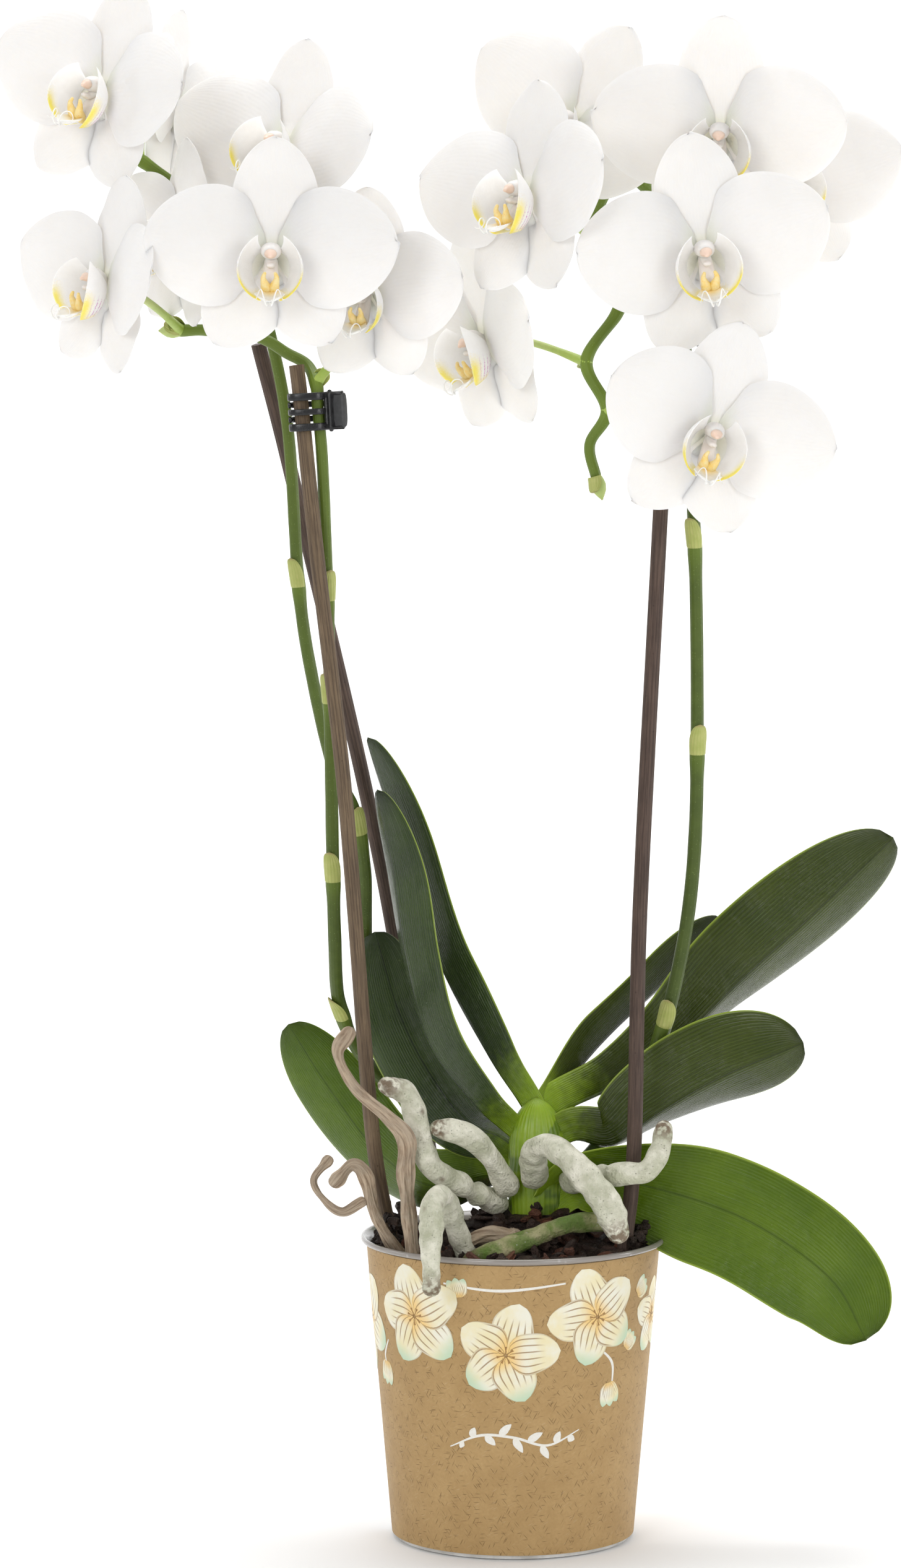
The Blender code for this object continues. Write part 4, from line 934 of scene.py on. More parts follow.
# %% Crown
def sheath_finish():
    """Lime green, brown at the very foot, with fine upright lines and darker
    green painted shade on the steps where one sheath overlaps the next.
    """
    made, tree, shader = finish_of("crown_green", Specular_IOR_Level=0.5, Subsurface_Weight=0.12,
                                   Subsurface_Scale=0.002)
    along, over = map_parts(tree)
    tint = tint_of(tree)
    mottle = effect(tree, "mottle", Size_mm=7.0, Contrast=0.25)
    line = maths(tree, "SINE", maths(tree, "MULTIPLY", over, 210.0))
    lime = blend_colour(tree, mottle["Mask"], (0.17, 0.28, 0.008), (0.25, 0.37, 0.016))
    # painted shade: darker green on the sheath steps that the crown's points mark
    lime = blend_colour(tree, ramp(tree, tint, 0.0, 1.0), lime, (0.09, 0.16, 0.008))
    old = ramp(tree, maths(tree, "MULTIPLY_ADD", mottle["Fine"], 0.14, along), 0.30, 0.20)
    lime = blend_colour(tree, maths(tree, "MULTIPLY", ramp(tree, line, 0.6, 1.0), 0.18), lime,
                        (0.34, 0.44, 0.08))
    lime = blend_colour(tree, old, lime, (0.060, 0.042, 0.022))
    plug(tree, shader, lime, maths(tree, "MULTIPLY_ADD", mottle["Fine"], 0.2, 0.26),
         ((line, 0.04), (mottle["Fine"], 0.08)))
    return made


def crown_column():
    """Ellipse whose half widths follow an outline that swells a little and then
    closes in a dome; each of three sheaths adds a step of about half a
    millimetre along a slanting edge.  The points on each step carry a value
    that the finish paints as shade under the overlapping sheath."""
    outline = smooth_line([(0, .78, 0), (.22, .80, 0), (.48, .86, 0), (.70, .88, 0), (.84, .74, 0),
                           (.94, .44, 0), (1.0, 0.0, 0)], 50)
    z, share = outline[:, :1], outline[:, 1:2]
    turn = np.linspace(0, 2 * np.pi, 65)[None, :]
    height = CROWN_FOOT + (CROWN_TOP - CROWN_FOOT) * z
    slant = np.cos(turn) * 0.16
    step = sum(1 / (1 + np.exp((z - level - sign * slant) * 60))
               for level, sign in ((0.22, 1), (0.45, -1), (0.68, 1)))
    share = share * (0.93 + 0.045 * step)
    share[-1] = 0
    share[0] = 0
    x = CROWN_CENTRE[0] + (CROWN_WIDTH - 2.0) * share * np.cos(turn)
    y = CROWN_CENTRE[1] + CROWN_DEPTH * share * np.sin(turn)
    points = np.stack([x, y, height * np.ones_like(turn)], -1)
    # edge marks the points on each step, painted as shade under the overlapping sheath
    edge = np.abs(step % 1.0 - 0.5) < 0.42
    return surface(points, np.stack([z * np.ones_like(turn), turn * np.ones_like(z) / 6.283], -1),
                   0, edge * 0.8 * (z < 0.9))


piece("crown_sheaths", [crown_column()], [sheath_finish()], ["stem_crown"])

# %% [markdown]
# ## Flower spikes
# A spike is a juicy green stem with a joint every 5 cm or so.  Each joint
# carries a papery scale that hugs the stem, and every flower's thin stalk
# rises from a small scale of its own.


# %% Stem finishes
def stem_finish():
    """Satin green, lighter towards the tip, with pale speckles and lines."""
    made, tree, shader = finish_of("spike_green", Specular_IOR_Level=0.35)
    over = map_parts(tree)[1]
    tint = tint_of(tree)
    mottle = effect(tree, "mottle", Size_mm=6.0, Contrast=0.3)
    specks = effect(tree, "specks", Size_mm=0.75, Share=0.55, Radius=0.26)
    line = maths(tree, "SINE", maths(tree, "MULTIPLY", over, 90.0))
    green = blend_colour(tree, mottle["Mask"], (0.028, 0.045, 0.006), (0.052, 0.078, 0.012))
    green = blend_colour(tree, tint, green, (0.17, 0.25, 0.025))
    green = blend_colour(tree, maths(tree, "MULTIPLY", specks["Mask"], 0.40), green,
                         (0.30, 0.42, 0.13))
    plug(tree, shader, green, maths(tree, "MULTIPLY_ADD", mottle["Fine"], 0.2, 0.36),
         ((line, 0.02), (mottle["Fine"], 0.06)))
    return made


def scale_finish():
    """Pale yellow-green scale with darker lines and a dry, brownish tip."""
    made, tree, shader = finish_of("scale_pale", Specular_IOR_Level=0.4)
    along, over = map_parts(tree)
    mottle = effect(tree, "mottle", Size_mm=3.0, Contrast=0.3)
    line = maths(tree, "SINE", maths(tree, "MULTIPLY", over, 26.0))
    pale = blend_colour(tree, mottle["Mask"], (0.36, 0.40, 0.10), (0.46, 0.47, 0.16))
    pale = blend_colour(tree, maths(tree, "MULTIPLY", ramp(tree, line, 0.2, 0.9), 0.3), pale,
                        (0.30, 0.38, 0.08))
    pale = blend_colour(tree, ramp(tree, along, 0.86, 1.0, 0.0, 0.7), pale, (0.40, 0.30, 0.14))
    plug(tree, shader, pale, maths(tree, "MULTIPLY_ADD", mottle["Fine"], 0.2, 0.42),
         ((line, 0.04), (mottle["Fine"], 0.06)))
    return made


def stalk_finish():
    """Yellow-green stalk that pales to cream where it meets the flower."""
    made, tree, shader = finish_of("stalk_pale", Specular_IOR_Level=0.45, Subsurface_Weight=0.1,
                                   Subsurface_Scale=0.001)
    tint = tint_of(tree)
    mottle = effect(tree, "mottle", Size_mm=4.0, Contrast=0.3)
    base = blend_colour(tree, mottle["Mask"], (0.30, 0.42, 0.06), (0.42, 0.53, 0.12))
    base = blend_colour(tree, tint, base, (0.66, 0.70, 0.40))
    plug(tree, shader, base, maths(tree, "MULTIPLY_ADD", mottle["Fine"], 0.2, 0.35),
         ((mottle["Fine"], 0.05),))
    return made


SPIKE_FINISHES = [stem_finish(), scale_finish(), stalk_finish()]
print("spike finishes:", [made.name for made in SPIKE_FINISHES])

# %% [markdown]
# The stem is swept along its path and swells where a scale or a stalk leaves
# it.  A scale is a patch of a cone that hugs the stem, and a stalk is a cubic
# curve that ends square to the back of its flower.

# %% Stem, scales and stalks
SPIKE_RADIUS, STALK_RADIUS = 2.15, 1.15
SPIKE_TAPER, SPIKE_STATIONS = 0.25, 420
SCALE_THICK, SCALE_LENGTH = 0.45, 9.5
STALK_STATIONS = 34
# Scales of each spike: height and the side they face, in degrees.
JOINTS = {"spike_left_front": [(153, -60), (195, -20), (248, -35), (299, 25)],
          "spike_left_back": [(146, 60), (207, 30), (281, -40)],
          "spike_right": [(152, -20), (233, 15), (293, -30), (330, 20)]}


def hugging_scale(path, at, facing, length, radius, spread=100.0, lift=0.7):
    """Patch of a cone round the stem: its angle narrows from spread to nothing
    while it stands off a little more towards its pointed tip."""
    step = np.linalg.norm(np.diff(path, axis=0), axis=1).mean()
    last = min(len(path) - 1, at + max(4, int(length / step)))
    line = path[at:last + 1]
    line = np.stack([np.interp(np.linspace(0, 1, 18), np.linspace(0, 1, len(line)), line[:, k])
                     for k in range(3)], 1)
    u = np.linspace(0, 1, 18)[:, None]
    v = np.linspace(-1, 1, 13)[None, :]
    _, one, two = across(line)
    angle = math.radians(facing) + v * math.radians(spread) * np.sqrt(np.maximum(0, 1 - u ** 1.5))
    off = radius + 0.25 + lift * u ** 2 + 0.15 * np.sin(np.pi * u)
    middle = line[:, None, :] + off[..., None] * (
        np.cos(angle)[..., None] * one[:, None, :] + np.sin(angle)[..., None] * two[:, None, :])
    return blade(middle, SCALE_THICK, None, 1, 0.3)


def stalk_line(foot, place, facing, size):
    """Cubic curve from the stem to the middle of the flower's back."""
    turn = facing_matrix(facing) * size
    end = np.array(place, float) + turn @ np.array([0, 0, -0.6])
    before = np.array(place, float) + turn @ np.array([0, 0, -13.0])
    foot = np.array(foot, float)
    second = foot + 0.45 * (before - foot)
    t = np.linspace(0, 1, STALK_STATIONS)[:, None]
    return (1 - t) ** 3 * foot + 3 * (1 - t) ** 2 * t * second \
        + 3 * (1 - t) * t ** 2 * before + t ** 3 * end


def flower_stalk(stem_point, place, facing, size):
    """A stalk that is thick at both ends, and the small scale at its foot."""
    line = stalk_line(stem_point, place, facing, size)
    w = np.linspace(0, 1, STALK_STATIONS)
    thin = STALK_RADIUS * np.interp(w, [0, .06, .3, .8, 1], [1.7, 1.25, .95, 1.0, 1.25])
    foot = smooth_line([line[0] - (line[1] - line[0]) * 0.3, line[4], line[9]], 24)
    return [swept(line, thin, 14, material=2, tint=np.clip(w * 1.15 - .25, 0, 1)),
            hugging_scale(foot, 1, 180, 5.0, STALK_RADIUS * 1.5, 95, 1.0)]


def end_bud(path):
    """An unopened bud: a round profile on the spike's last direction."""
    way = path[-1] - path[-4]
    way = way / np.linalg.norm(way)
    line = np.array([path[-1] + way * k for k in np.linspace(-1.5, 6.0, 14)])
    girth = np.interp(np.linspace(0, 1, 14), [0, .2, .45, .7, .9, 1], [1.2, 1.9, 2.3, 1.9, 1.0, .4])
    return [swept(line, girth, 16, material=2, tint=np.full(14, 0.25)),
            hugging_scale(line, 1, 40, 5.0, 2.0, 80, 0.9)]


for name, points in SPIKES.items():
    heart = np.array(CROWN_CENTRE + (points[0][2] - 3.0,), float)
    foot = tuple(0.5 * heart + 0.5 * np.array(points[0], float))
    path = smooth_line([foot] + list(points), SPIKE_STATIONS)
    share = np.linspace(0, 1, SPIKE_STATIONS)
    girth = SPIKE_RADIUS * (1 - SPIKE_TAPER * share)
    marks, parts = [], []
    for height, facing in JOINTS[name]:
        at = int(np.abs(path[:SPIKE_STATIONS // 2 + 60, 2] - height).argmin())
        marks.append(at)
        parts.append(hugging_scale(path, at, facing, SCALE_LENGTH, girth[at]))
    for number, place, facing, size, lean, owner, stem_point in FLOWERS:
        if owner == name:
            at = int(np.linalg.norm(path - np.array(stem_point, float), axis=1).argmin())
            marks.append(at)
            parts += flower_stalk(path[at], place, facing, size)
    bump = sum(np.exp(-((np.arange(SPIKE_STATIONS) - at) / 5.0) ** 2) for at in marks)
    girth = girth * (1 + 0.16 * np.minimum(bump, 1.2)) * (1 + 0.02 * wobble(path, 9.0, 5))
    girth[-1] *= 0.8
    light = np.clip(0.10 + 0.55 * share ** 1.5 + 0.25 * np.minimum(bump, 1), 0, 1)
    parts += [swept(path, girth, 20, tint=light)] + end_bud(path)
    piece(name + "_stem", parts, SPIKE_FINISHES, [name])

# %% [markdown]
# ## Support sticks
# Split bamboo, stained dark brown or left tan: straight grain along the
# length, dark fibres, a few nicks and a nearly square cut at the top.


# %% Sticks
def stick_finish(name, light, dark):
    """Grain noise stretched along the stick under a few dark fibres."""
    made, tree, shader = finish_of(name, Specular_IOR_Level=0.3)
    along, over = map_parts(tree)
    lay = node(tree, "ShaderNodeCombineXYZ", {0: maths(tree, "MULTIPLY", along, 0.55),
                                              1: maths(tree, "MULTIPLY", over, 26.0)}).outputs[0]
    grain = node(tree, "ShaderNodeTexNoise", {"Vector": lay, "Scale": 1.0, "Detail": 5.0,
                                              "Roughness": 0.7}).outputs[0]
    mottle = effect(tree, "mottle", Size_mm=12.0, Contrast=0.3)
    specks = effect(tree, "specks", Size_mm=2.5, Share=0.2, Radius=0.16)
    wood = blend_colour(tree, ramp(tree, grain, 0.36, 0.64), dark, light)
    wood = blend_colour(tree, maths(tree, "MULTIPLY", mottle["Mask"], 0.35), wood,
                        tuple(0.6 * a for a in dark))
    wood = blend_colour(tree, maths(tree, "MULTIPLY", specks["Mask"], 0.6), wood,
                        tuple(0.3 * a for a in dark))
    plug(tree, shader, wood, maths(tree, "MULTIPLY_ADD", grain, 0.3, 0.42),
         ((grain, 0.25), (mottle["Fine"], 0.05)))
    return made


STICK_RADIUS = 2.2
STICK_FINISHES = {
    "stick_brown": stick_finish("stick_brown", (0.125, 0.082, 0.062), (0.052, 0.032, 0.024)),
    "stick_tan": stick_finish("stick_tan", (0.215, 0.150, 0.088), (0.085, 0.056, 0.034))}
for name, points in STICKS.items():
    path = smooth_line(points, 200)
    turn = np.linspace(0, 2 * np.pi, 25)[None, :]
    ridge = 1 + 0.022 * np.cos(5 * turn + 0.6) + 0.012 * np.cos(9 * turn)
    girth = STICK_RADIUS * ridge * (1 + 0.012 * wobble(path, 40.0, 8))[:, None]
    stain = "stick_tan" if name == "stick_tan" else "stick_brown"
    piece(name + "_cane", [swept(path, girth, 24, round_ends=False)], [STICK_FINISHES[stain]],
          [name])

# %% [markdown]
# ## Aerial roots
# A living root wears a spongy silver coat that shows green through it; old
# roots shrivel to tan ribbons.  Both are profiles carried along a path, the
# living ones lumpy, the dry ones flattened, grooved and slowly twisted.


# %% Root finishes
def root_finish(name, light, mid, moss, moss_share):
    """Silvery coat with mossy patches, white flecks and brown scars."""
    made, tree, shader = finish_of(name, Specular_IOR_Level=0.25)
    tint = tint_of(tree)
    mottle = effect(tree, "mottle", Size_mm=5.0, Contrast=0.22)
    patch = effect(tree, "mottle", Size_mm=9.0, Contrast=0.12)
    flecks = effect(tree, "specks", Size_mm=1.5, Share=0.5, Radius=0.22)
    scars = effect(tree, "specks", Size_mm=5.5, Share=0.20, Radius=0.30)
    pits = effect(tree, "specks", Size_mm=0.8, Share=0.35, Radius=0.25)
    coat = blend_colour(tree, mottle["Mask"], mid, light)
    coat = blend_colour(tree, maths(tree, "MULTIPLY", patch["Mask"], moss_share), coat, moss)
    coat = blend_colour(tree, maths(tree, "MULTIPLY", flecks["Mask"], 0.6), coat,
                        (0.62, 0.62, 0.56))
    coat = blend_colour(tree, maths(tree, "MULTIPLY", scars["Mask"], 0.75), coat,
                        (0.13, 0.085, 0.05))
    tip = maths(tree, "MULTIPLY", tint, ramp(tree, patch["Fine"], 0.35, 0.6))
    coat = blend_colour(tree, tip, coat, (0.15, 0.10, 0.06))
    coat = blend_colour(tree, maths(tree, "MULTIPLY", pits["Mask"], 0.6), coat,
                        (0.20, 0.17, 0.12))
    plug(tree, shader, coat, maths(tree, "MULTIPLY_ADD", mottle["Fine"], 0.25, 0.55),
         ((mottle["Mask"], 0.5), (mottle["Fine"], 0.45), (pits["Mask"], -0.25),
          (scars["Mask"], -0.3)))
    return made


def dry_finish():
    """Papery tan with long darker grooves and grey ends."""
    made, tree, shader = finish_of("dry_tan", Specular_IOR_Level=0.2)
    along, over = map_parts(tree)
    lay = node(tree, "ShaderNodeCombineXYZ", {0: maths(tree, "MULTIPLY", along, 1.2),
                                              1: maths(tree, "MULTIPLY", over, 14.0)}).outputs[0]
    grain = node(tree, "ShaderNodeTexNoise", {"Vector": lay, "Scale": 1.0, "Detail": 5.0,
                                              "Roughness": 0.65}).outputs[0]
    mottle = effect(tree, "mottle", Size_mm=5.0, Contrast=0.25)
    tan = blend_colour(tree, ramp(tree, grain, 0.32, 0.62), (0.20, 0.13, 0.08),
                       (0.50, 0.39, 0.28))
    tan = blend_colour(tree, maths(tree, "MULTIPLY", mottle["Mask"], 0.5), tan,
                       (0.38, 0.33, 0.26))
    plug(tree, shader, tan, maths(tree, "MULTIPLY_ADD", grain, 0.3, 0.6),
         ((grain, 0.5), (mottle["Fine"], 0.15)))
    return made


ROOT_GREY = root_finish("root_grey", (0.80, 0.775, 0.66), (0.50, 0.495, 0.38),
                        (0.22, 0.26, 0.12), 0.30)
ROOT_MOSS = root_finish("root_moss", (0.42, 0.38, 0.22), (0.15, 0.19, 0.05),
                        (0.085, 0.165, 0.020), 0.75)
DRY_TAN = dry_finish()
print("root finishes:", ROOT_GREY.name, ROOT_MOSS.name, DRY_TAN.name)

# %% [markdown]
# A living root is as thick as a pencil and swells unevenly, so its radius is
# noise along the path and dents round it.  A dry one is an ellipse with
# grooves that turn along the path, as a ribbon twists when it shrivels.

# %% Roots
def living_root(points, foot, tip, seed):
    """Round profile; its radius swells and shrinks by about a tenth along the
    way and is dented by finer waves over the surface."""
    rows, turns = 110, 26
    path = smooth_line(points, rows)
    s = np.linspace(0, 1, rows)
    path = path + np.stack([0.28 * wobble(path, 11.0, seed + k) for k in range(3)], 1) \
        * np.sin(np.pi * s)[:, None]
    girth = (foot + (tip - foot) * s) * (1 + 0.13 * wobble(path, 13.0, seed)
                                         + 0.10 * wobble(path, 5.0, seed + 9))
    girth = girth * np.where(s > 0.88, 1 - 0.22 * ((s - 0.88) / 0.12) ** 2, 1)
    around = np.linspace(0, 2 * np.pi, turns + 1)[None, :]
    dent = np.sin(3 * around + 9 * s[:, None] + seed) * 0.040 \
        + np.sin(5 * around - 23 * s[:, None]) * 0.026
    return swept(path, girth[:, None] * (1 + dent), turns, tint=np.clip(s * 9 - 8.1, 0, 1))


def dry_root(points, foot, tip, seed):
    """Ellipse with seven grooves whose long side turns along the path."""
    rows, turns = 120, 30
    path = smooth_line(points, rows)
    s = np.linspace(0, 1, rows)[:, None]
    around = np.linspace(0, 2 * np.pi, turns + 1)[None, :]
    turn = around + 3.4 * s + seed
    shape = 1 + 0.30 * np.cos(2 * turn) + 0.10 * np.cos(7 * around + 4 * s) \
        + 0.06 * np.cos(11 * around - 9 * s)
    girth = (foot + (tip - foot) * s) * (1 + 0.14 * wobble(path, 9.0, seed)[:, None])
    ends = 1 + 0.35 * np.exp(-((s - 0.97) / 0.05) ** 2)
    return swept(path, girth * shape * ends, turns)


for seed, (name, points, foot, tip) in enumerate(ROOTS, 60):
    if name.startswith("root"):
        finish, slot = (ROOT_MOSS if name == "root_mossy" else ROOT_GREY), "root_grey"
        grid = living_root(points, foot, tip, seed)
    else:
        finish, slot = DRY_TAN, "dry_tan"
        grid = dry_root(points, foot, tip, seed)
    piece(name + "_skin", [grid], [finish], [name])

# %% [markdown]
# ## Bark mix
# The pot is filled with dark composted bark, heaped round the crown.  Its bed
# is a disc of rings with noise for height.  Several hundred chips, each a
# dented lump made from a cube of few faces, lie on it at random angles.


# %% Bark
def bark_finish():
    """Nearly black when damp; each chip has its own share of red-brown."""
    made, tree, shader = finish_of("bark", Specular_IOR_Level=0.4)
    tint = tint_of(tree)
    mottle = effect(tree, "mottle", Size_mm=2.2, Contrast=0.22)
    grit = effect(tree, "specks", Size_mm=0.9, Share=0.3, Radius=0.3)
    dark = blend_colour(tree, mottle["Mask"], (0.012, 0.008, 0.006), (0.040, 0.024, 0.016))
    dark = blend_colour(tree, tint, dark, (0.150, 0.055, 0.030))
    dark = blend_colour(tree, maths(tree, "MULTIPLY", grit["Mask"], 0.4), dark,
                        (0.13, 0.085, 0.055))
    plug(tree, shader, dark, maths(tree, "MULTIPLY_ADD", mottle["Fine"], 0.5, 0.35),
         ((mottle["Mask"], 0.6), (mottle["Fine"], 0.4)))
    return made


BARK = bark_finish()
print("bark finish ready")

# %% [markdown]
# The bed and the pot share one rule for the tapered wall, so the bark meets
# the plastic all round.  Heaps of fine crumbs lie against the rim.

# %% Bark bed and chips
POT_HEIGHT, POT_RIM_RADIUS, POT_TOP_RADIUS, POT_BASE_RADIUS = 90.0, 45.0, 42.4, 35.0
POT_WALL, BASE_ROUND, FLANGE_DROP = 1.3, 1.5, 3.2
MEDIUM_LEVEL, MEDIUM_DEPTH, MEDIUM_GAP = 82.0, 78.2, 0.6
MOUND_HEIGHT, MOUND_PLACE, MOUND_SPREAD = 18.0, (7, 4), 420.0
RIM_RISE = 4.0
CHIP_COUNT, CHIP_REACH, CRUMB_REACH = 430, 38.5, 40.3
RED_SHARE = 0.22  # share of chips that are clearly red-brown
# Heaps of crumbs at the rim: middle, spread and number drawn.
HEAPS = [((-38.0, -12, 90), 3.6, 90), ((-39.0, 3, 90), 3.4, 60), ((38.0, -6, 89.5), 3.6, 80),
         ((35.5, -17, 88.0), 3.0, 50), ((-33, 18, 89), 3, 40)]
chance = np.random.default_rng(14)


def wall_radius(height, outside=True):
    """Outer or inner radius of the tapered wall at a height."""
    share = (height - BASE_ROUND) / (POT_HEIGHT - FLANGE_DROP - BASE_ROUND)
    radius = POT_BASE_RADIUS + (POT_TOP_RADIUS - POT_BASE_RADIUS) * share
    return radius if outside else radius - POT_WALL


def bed_height(x, y):
    """Level + a bell-shaped mound at the crown + a slow rise towards the wall
    + noise of three sizes."""
    flat = np.stack([x, y, 0 * x], -1)
    apart = (x - MOUND_PLACE[0]) ** 2 + (y - MOUND_PLACE[1]) ** 2
    mound = MOUND_HEIGHT * np.exp(-apart / MOUND_SPREAD) + RIM_RISE * np.hypot(x, y) / 42.0
    return MEDIUM_LEVEL + mound + 0.9 * wobble(flat, 26.0, 71) + 0.8 * wobble(flat, 9.0, 72) \
        + 0.5 * wobble(flat, 4.0, 73)


def bark_bed():
    """Rings from the middle to the wall, then down the wall to the floor."""
    around = np.linspace(0, 2 * np.pi, 121)[None, :]
    r = np.r_[np.linspace(0, 1, 40), np.ones(14)][:, None]
    drop = np.r_[np.zeros(40), np.linspace(2, MEDIUM_DEPTH, 14)][:, None]
    level = MEDIUM_LEVEL - drop
    wall = np.where(drop > 0, wall_radius(level, False), wall_radius(MEDIUM_LEVEL + 1, False))
    radius = r * (wall - MEDIUM_GAP)
    x, y = radius * np.cos(around), radius * np.sin(around)
    z = np.where(drop > 0, level, bed_height(x, y) - 2.0 * (r > 0.97))
    grid = np.stack([x, y, z * np.ones_like(x)], -1)
    floor = grid[-1:] * np.array([0.0, 0.0, 1.0])
    return surface(np.vstack([grid, floor]), tint=0.04)


def bark_chips(spots, sizes, tints, seed):
    """All chips at once: the points of one 4 x 4 x 4 cube shell, pulled part
    of the way to a ball, scaled, dented, turned and moved chip by chip."""
    draw = np.random.default_rng(seed)
    n = len(spots)
    k = np.linspace(-1, 1, 4)
    a, b = np.meshgrid(k, k, indexing="ij")
    one = np.ones_like(a)
    sides = [np.stack(p, -1) for p in ((one, a, b), (-one, b, a), (b, one, a), (a, -one, b),
                                       (a, b, one), (b, a, -one))]
    cube = np.stack(sides)
    cube = cube / (0.55 + 0.45 * np.linalg.norm(cube, axis=-1, keepdims=True) / 1.2)
    points = cube[None] * sizes[:, None, None, None, :] * 0.5
    dent = draw.normal(0, 3.0, (n, 3, 3))
    lump = np.sin(np.einsum("abcd,nde->nabce", cube, dent) + dent[:, None, None, None, 0])
    points = points * (1 + 0.22 * lump)
    q = draw.normal(size=(n, 4)) * np.array([1.0, 0.22, 0.22, 1.0])
    q /= np.linalg.norm(q, axis=1)[:, None]
    w, x, y, z = q.T
    turn = np.stack([1 - 2 * (y * y + z * z), 2 * (x * y - w * z), 2 * (x * z + w * y),
                     2 * (x * y + w * z), 1 - 2 * (x * x + z * z), 2 * (y * z - w * x),
                     2 * (x * z - w * y), 2 * (y * z + w * x), 1 - 2 * (x * x + y * y)],
                    -1).reshape(n, 3, 3)
    points = np.einsum("nabcd,ned->nabce", points, turn) + spots[:, None, None, None]
    return [surface(points[i, j], tint=tints[i]) for i in range(n) for j in range(6)]


turn = chance.uniform(0, 2 * np.pi, CHIP_COUNT)
far = CHIP_REACH * np.sqrt(chance.uniform(0.02, 1, CHIP_COUNT))
x, y = far * np.cos(turn), far * np.sin(turn)
sizes = np.stack([chance.uniform(low, high, CHIP_COUNT)
                  for low, high in ((3.0, 8.5), (2.0, 4.8), (1.0, 2.6))], -1)
spots = np.stack([x, y, bed_height(x, y) + chance.uniform(-0.3, 1.6, CHIP_COUNT)], -1)
tints = np.where(chance.uniform(size=CHIP_COUNT) < RED_SHARE,
                 chance.uniform(0.35, 1.0, CHIP_COUNT), chance.uniform(0.0, 0.14, CHIP_COUNT))
crumbs = np.concatenate([
    np.array(middle) + chance.normal(size=(number, 3)) * np.array([0.5 * spread, spread, spread])
    for middle, spread, number in HEAPS])
crumbs = crumbs[np.hypot(crumbs[:, 0], crumbs[:, 1]) < CRUMB_REACH]
crumb_sizes = chance.uniform(1.2, 3.4, (len(crumbs), 3))
chips = bark_chips(np.vstack([spots, crumbs]), np.vstack([sizes, crumb_sizes]),
                   np.r_[tints, np.full(len(crumbs), 0.03)], 75)
print(CHIP_COUNT, "chips and", len(crumbs), "crumbs")
piece("bark_mix", [bark_bed()] + chips, [BARK], ["growing_medium"])

# %% [markdown]
# ## The pot
# A thin tapered shell with a narrow outward flange.  It is turned on a lathe:
# one profile of radius and height, carried once round the axis, with both
# ends of the profile on the axis so the shell closes.


# %% Pot
def pot_finish():
    """Greyish see-through plastic: dark bark shows faintly in patches."""
    made, tree, shader = finish_of("pot_plastic", Specular_IOR_Level=0.5, Coat_Weight=0.3,
                                   Coat_Roughness=0.08)
    tint = tint_of(tree)
    mottle = effect(tree, "mottle", Size_mm=9.0, Contrast=0.2)
    drop = effect(tree, "specks", Size_mm=2.4, Share=0.3, Radius=0.3)
    grey = blend_colour(tree, mottle["Mask"], (0.74, 0.74, 0.72), (0.52, 0.51, 0.48))
    grey = blend_colour(tree, tint, grey, (0.27, 0.245, 0.22))
    grey = blend_colour(tree, maths(tree, "MULTIPLY", drop["Mask"], 0.3), grey, (0.70, 0.70, 0.68))
    plug(tree, shader, grey, maths(tree, "MULTIPLY_ADD", mottle["Fine"], 0.12, 0.14),
         ((mottle["Fine"], 0.04),))
    return made


def turned(profile, sides=160, tint=0.0, first=0.0, sweep=2 * np.pi):
    """Point = (r cos turn, r sin turn, z) for every (r, z) of the profile; the
    map is (height, length round the side), both in centimetres."""
    profile = np.array(profile, float)
    turn = first + np.linspace(0, sweep, sides + 1)[None, :]
    r, z = profile[:, :1], profile[:, 1:]
    points = np.stack([r * np.cos(turn), r * np.sin(turn), z * np.ones_like(turn)], -1)
    maps = np.stack([z * np.ones_like(turn) / 10, 4.0 * turn * np.ones_like(z)], -1)
    return surface(points, maps, 0, np.broadcast_to(np.asarray(tint, float).reshape(-1, 1),
                                                    (len(profile), sides + 1)))


FLANGE = POT_RIM_RADIUS
# Radius and height: floor, round foot, wall, flange, then back down inside.
pot_profile = [(0, 0.9), (20, 0.9), (31.0, 0.8), (32.2, 0.2), (33.5, 0.0), (34.6, 0.35), (35.0, 1.5),
               (wall_radius(30), 30), (wall_radius(60), 60), (wall_radius(86.6), 86.6),
               (43.0, 88.0), (44.3, 88.35), (FLANGE - 0.25, 88.5), (FLANGE, 88.95), (FLANGE, 89.5),
               (FLANGE - 0.3, 89.95), (FLANGE - 0.9, 90.0), (43.6, 89.6), (42.7, 89.0), (41.4, 87.2),
               (wall_radius(60, False), 60), (wall_radius(30, False), 30), (33.7, 3.4),
               (32.6, 2.3), (20, 2.0), (0, 2.0)]
rim_tint = [1.0 if z > POT_HEIGHT - FLANGE_DROP + 0.1 else 0.0 for r, z in pot_profile]
piece("pot_shell", [turned(pot_profile, tint=rim_tint)], [pot_finish()], ["pot"])

# %% [markdown]
# ## The kraft sleeve and its print
# The sleeve is unbleached paper: brown, cloudy, crossed by short dark and pale
# fibres.  It is a thin closed profile turned nearly all round the pot, and it
# is left open over a narrow strip behind.


# %% Sleeve finish
# Fibres: cells per centimetre along and across, and the share that is filled.
FIBRE_ALONG, FIBRE_ACROSS, FIBRE_SHARE = 2.4, 22.0, 0.42


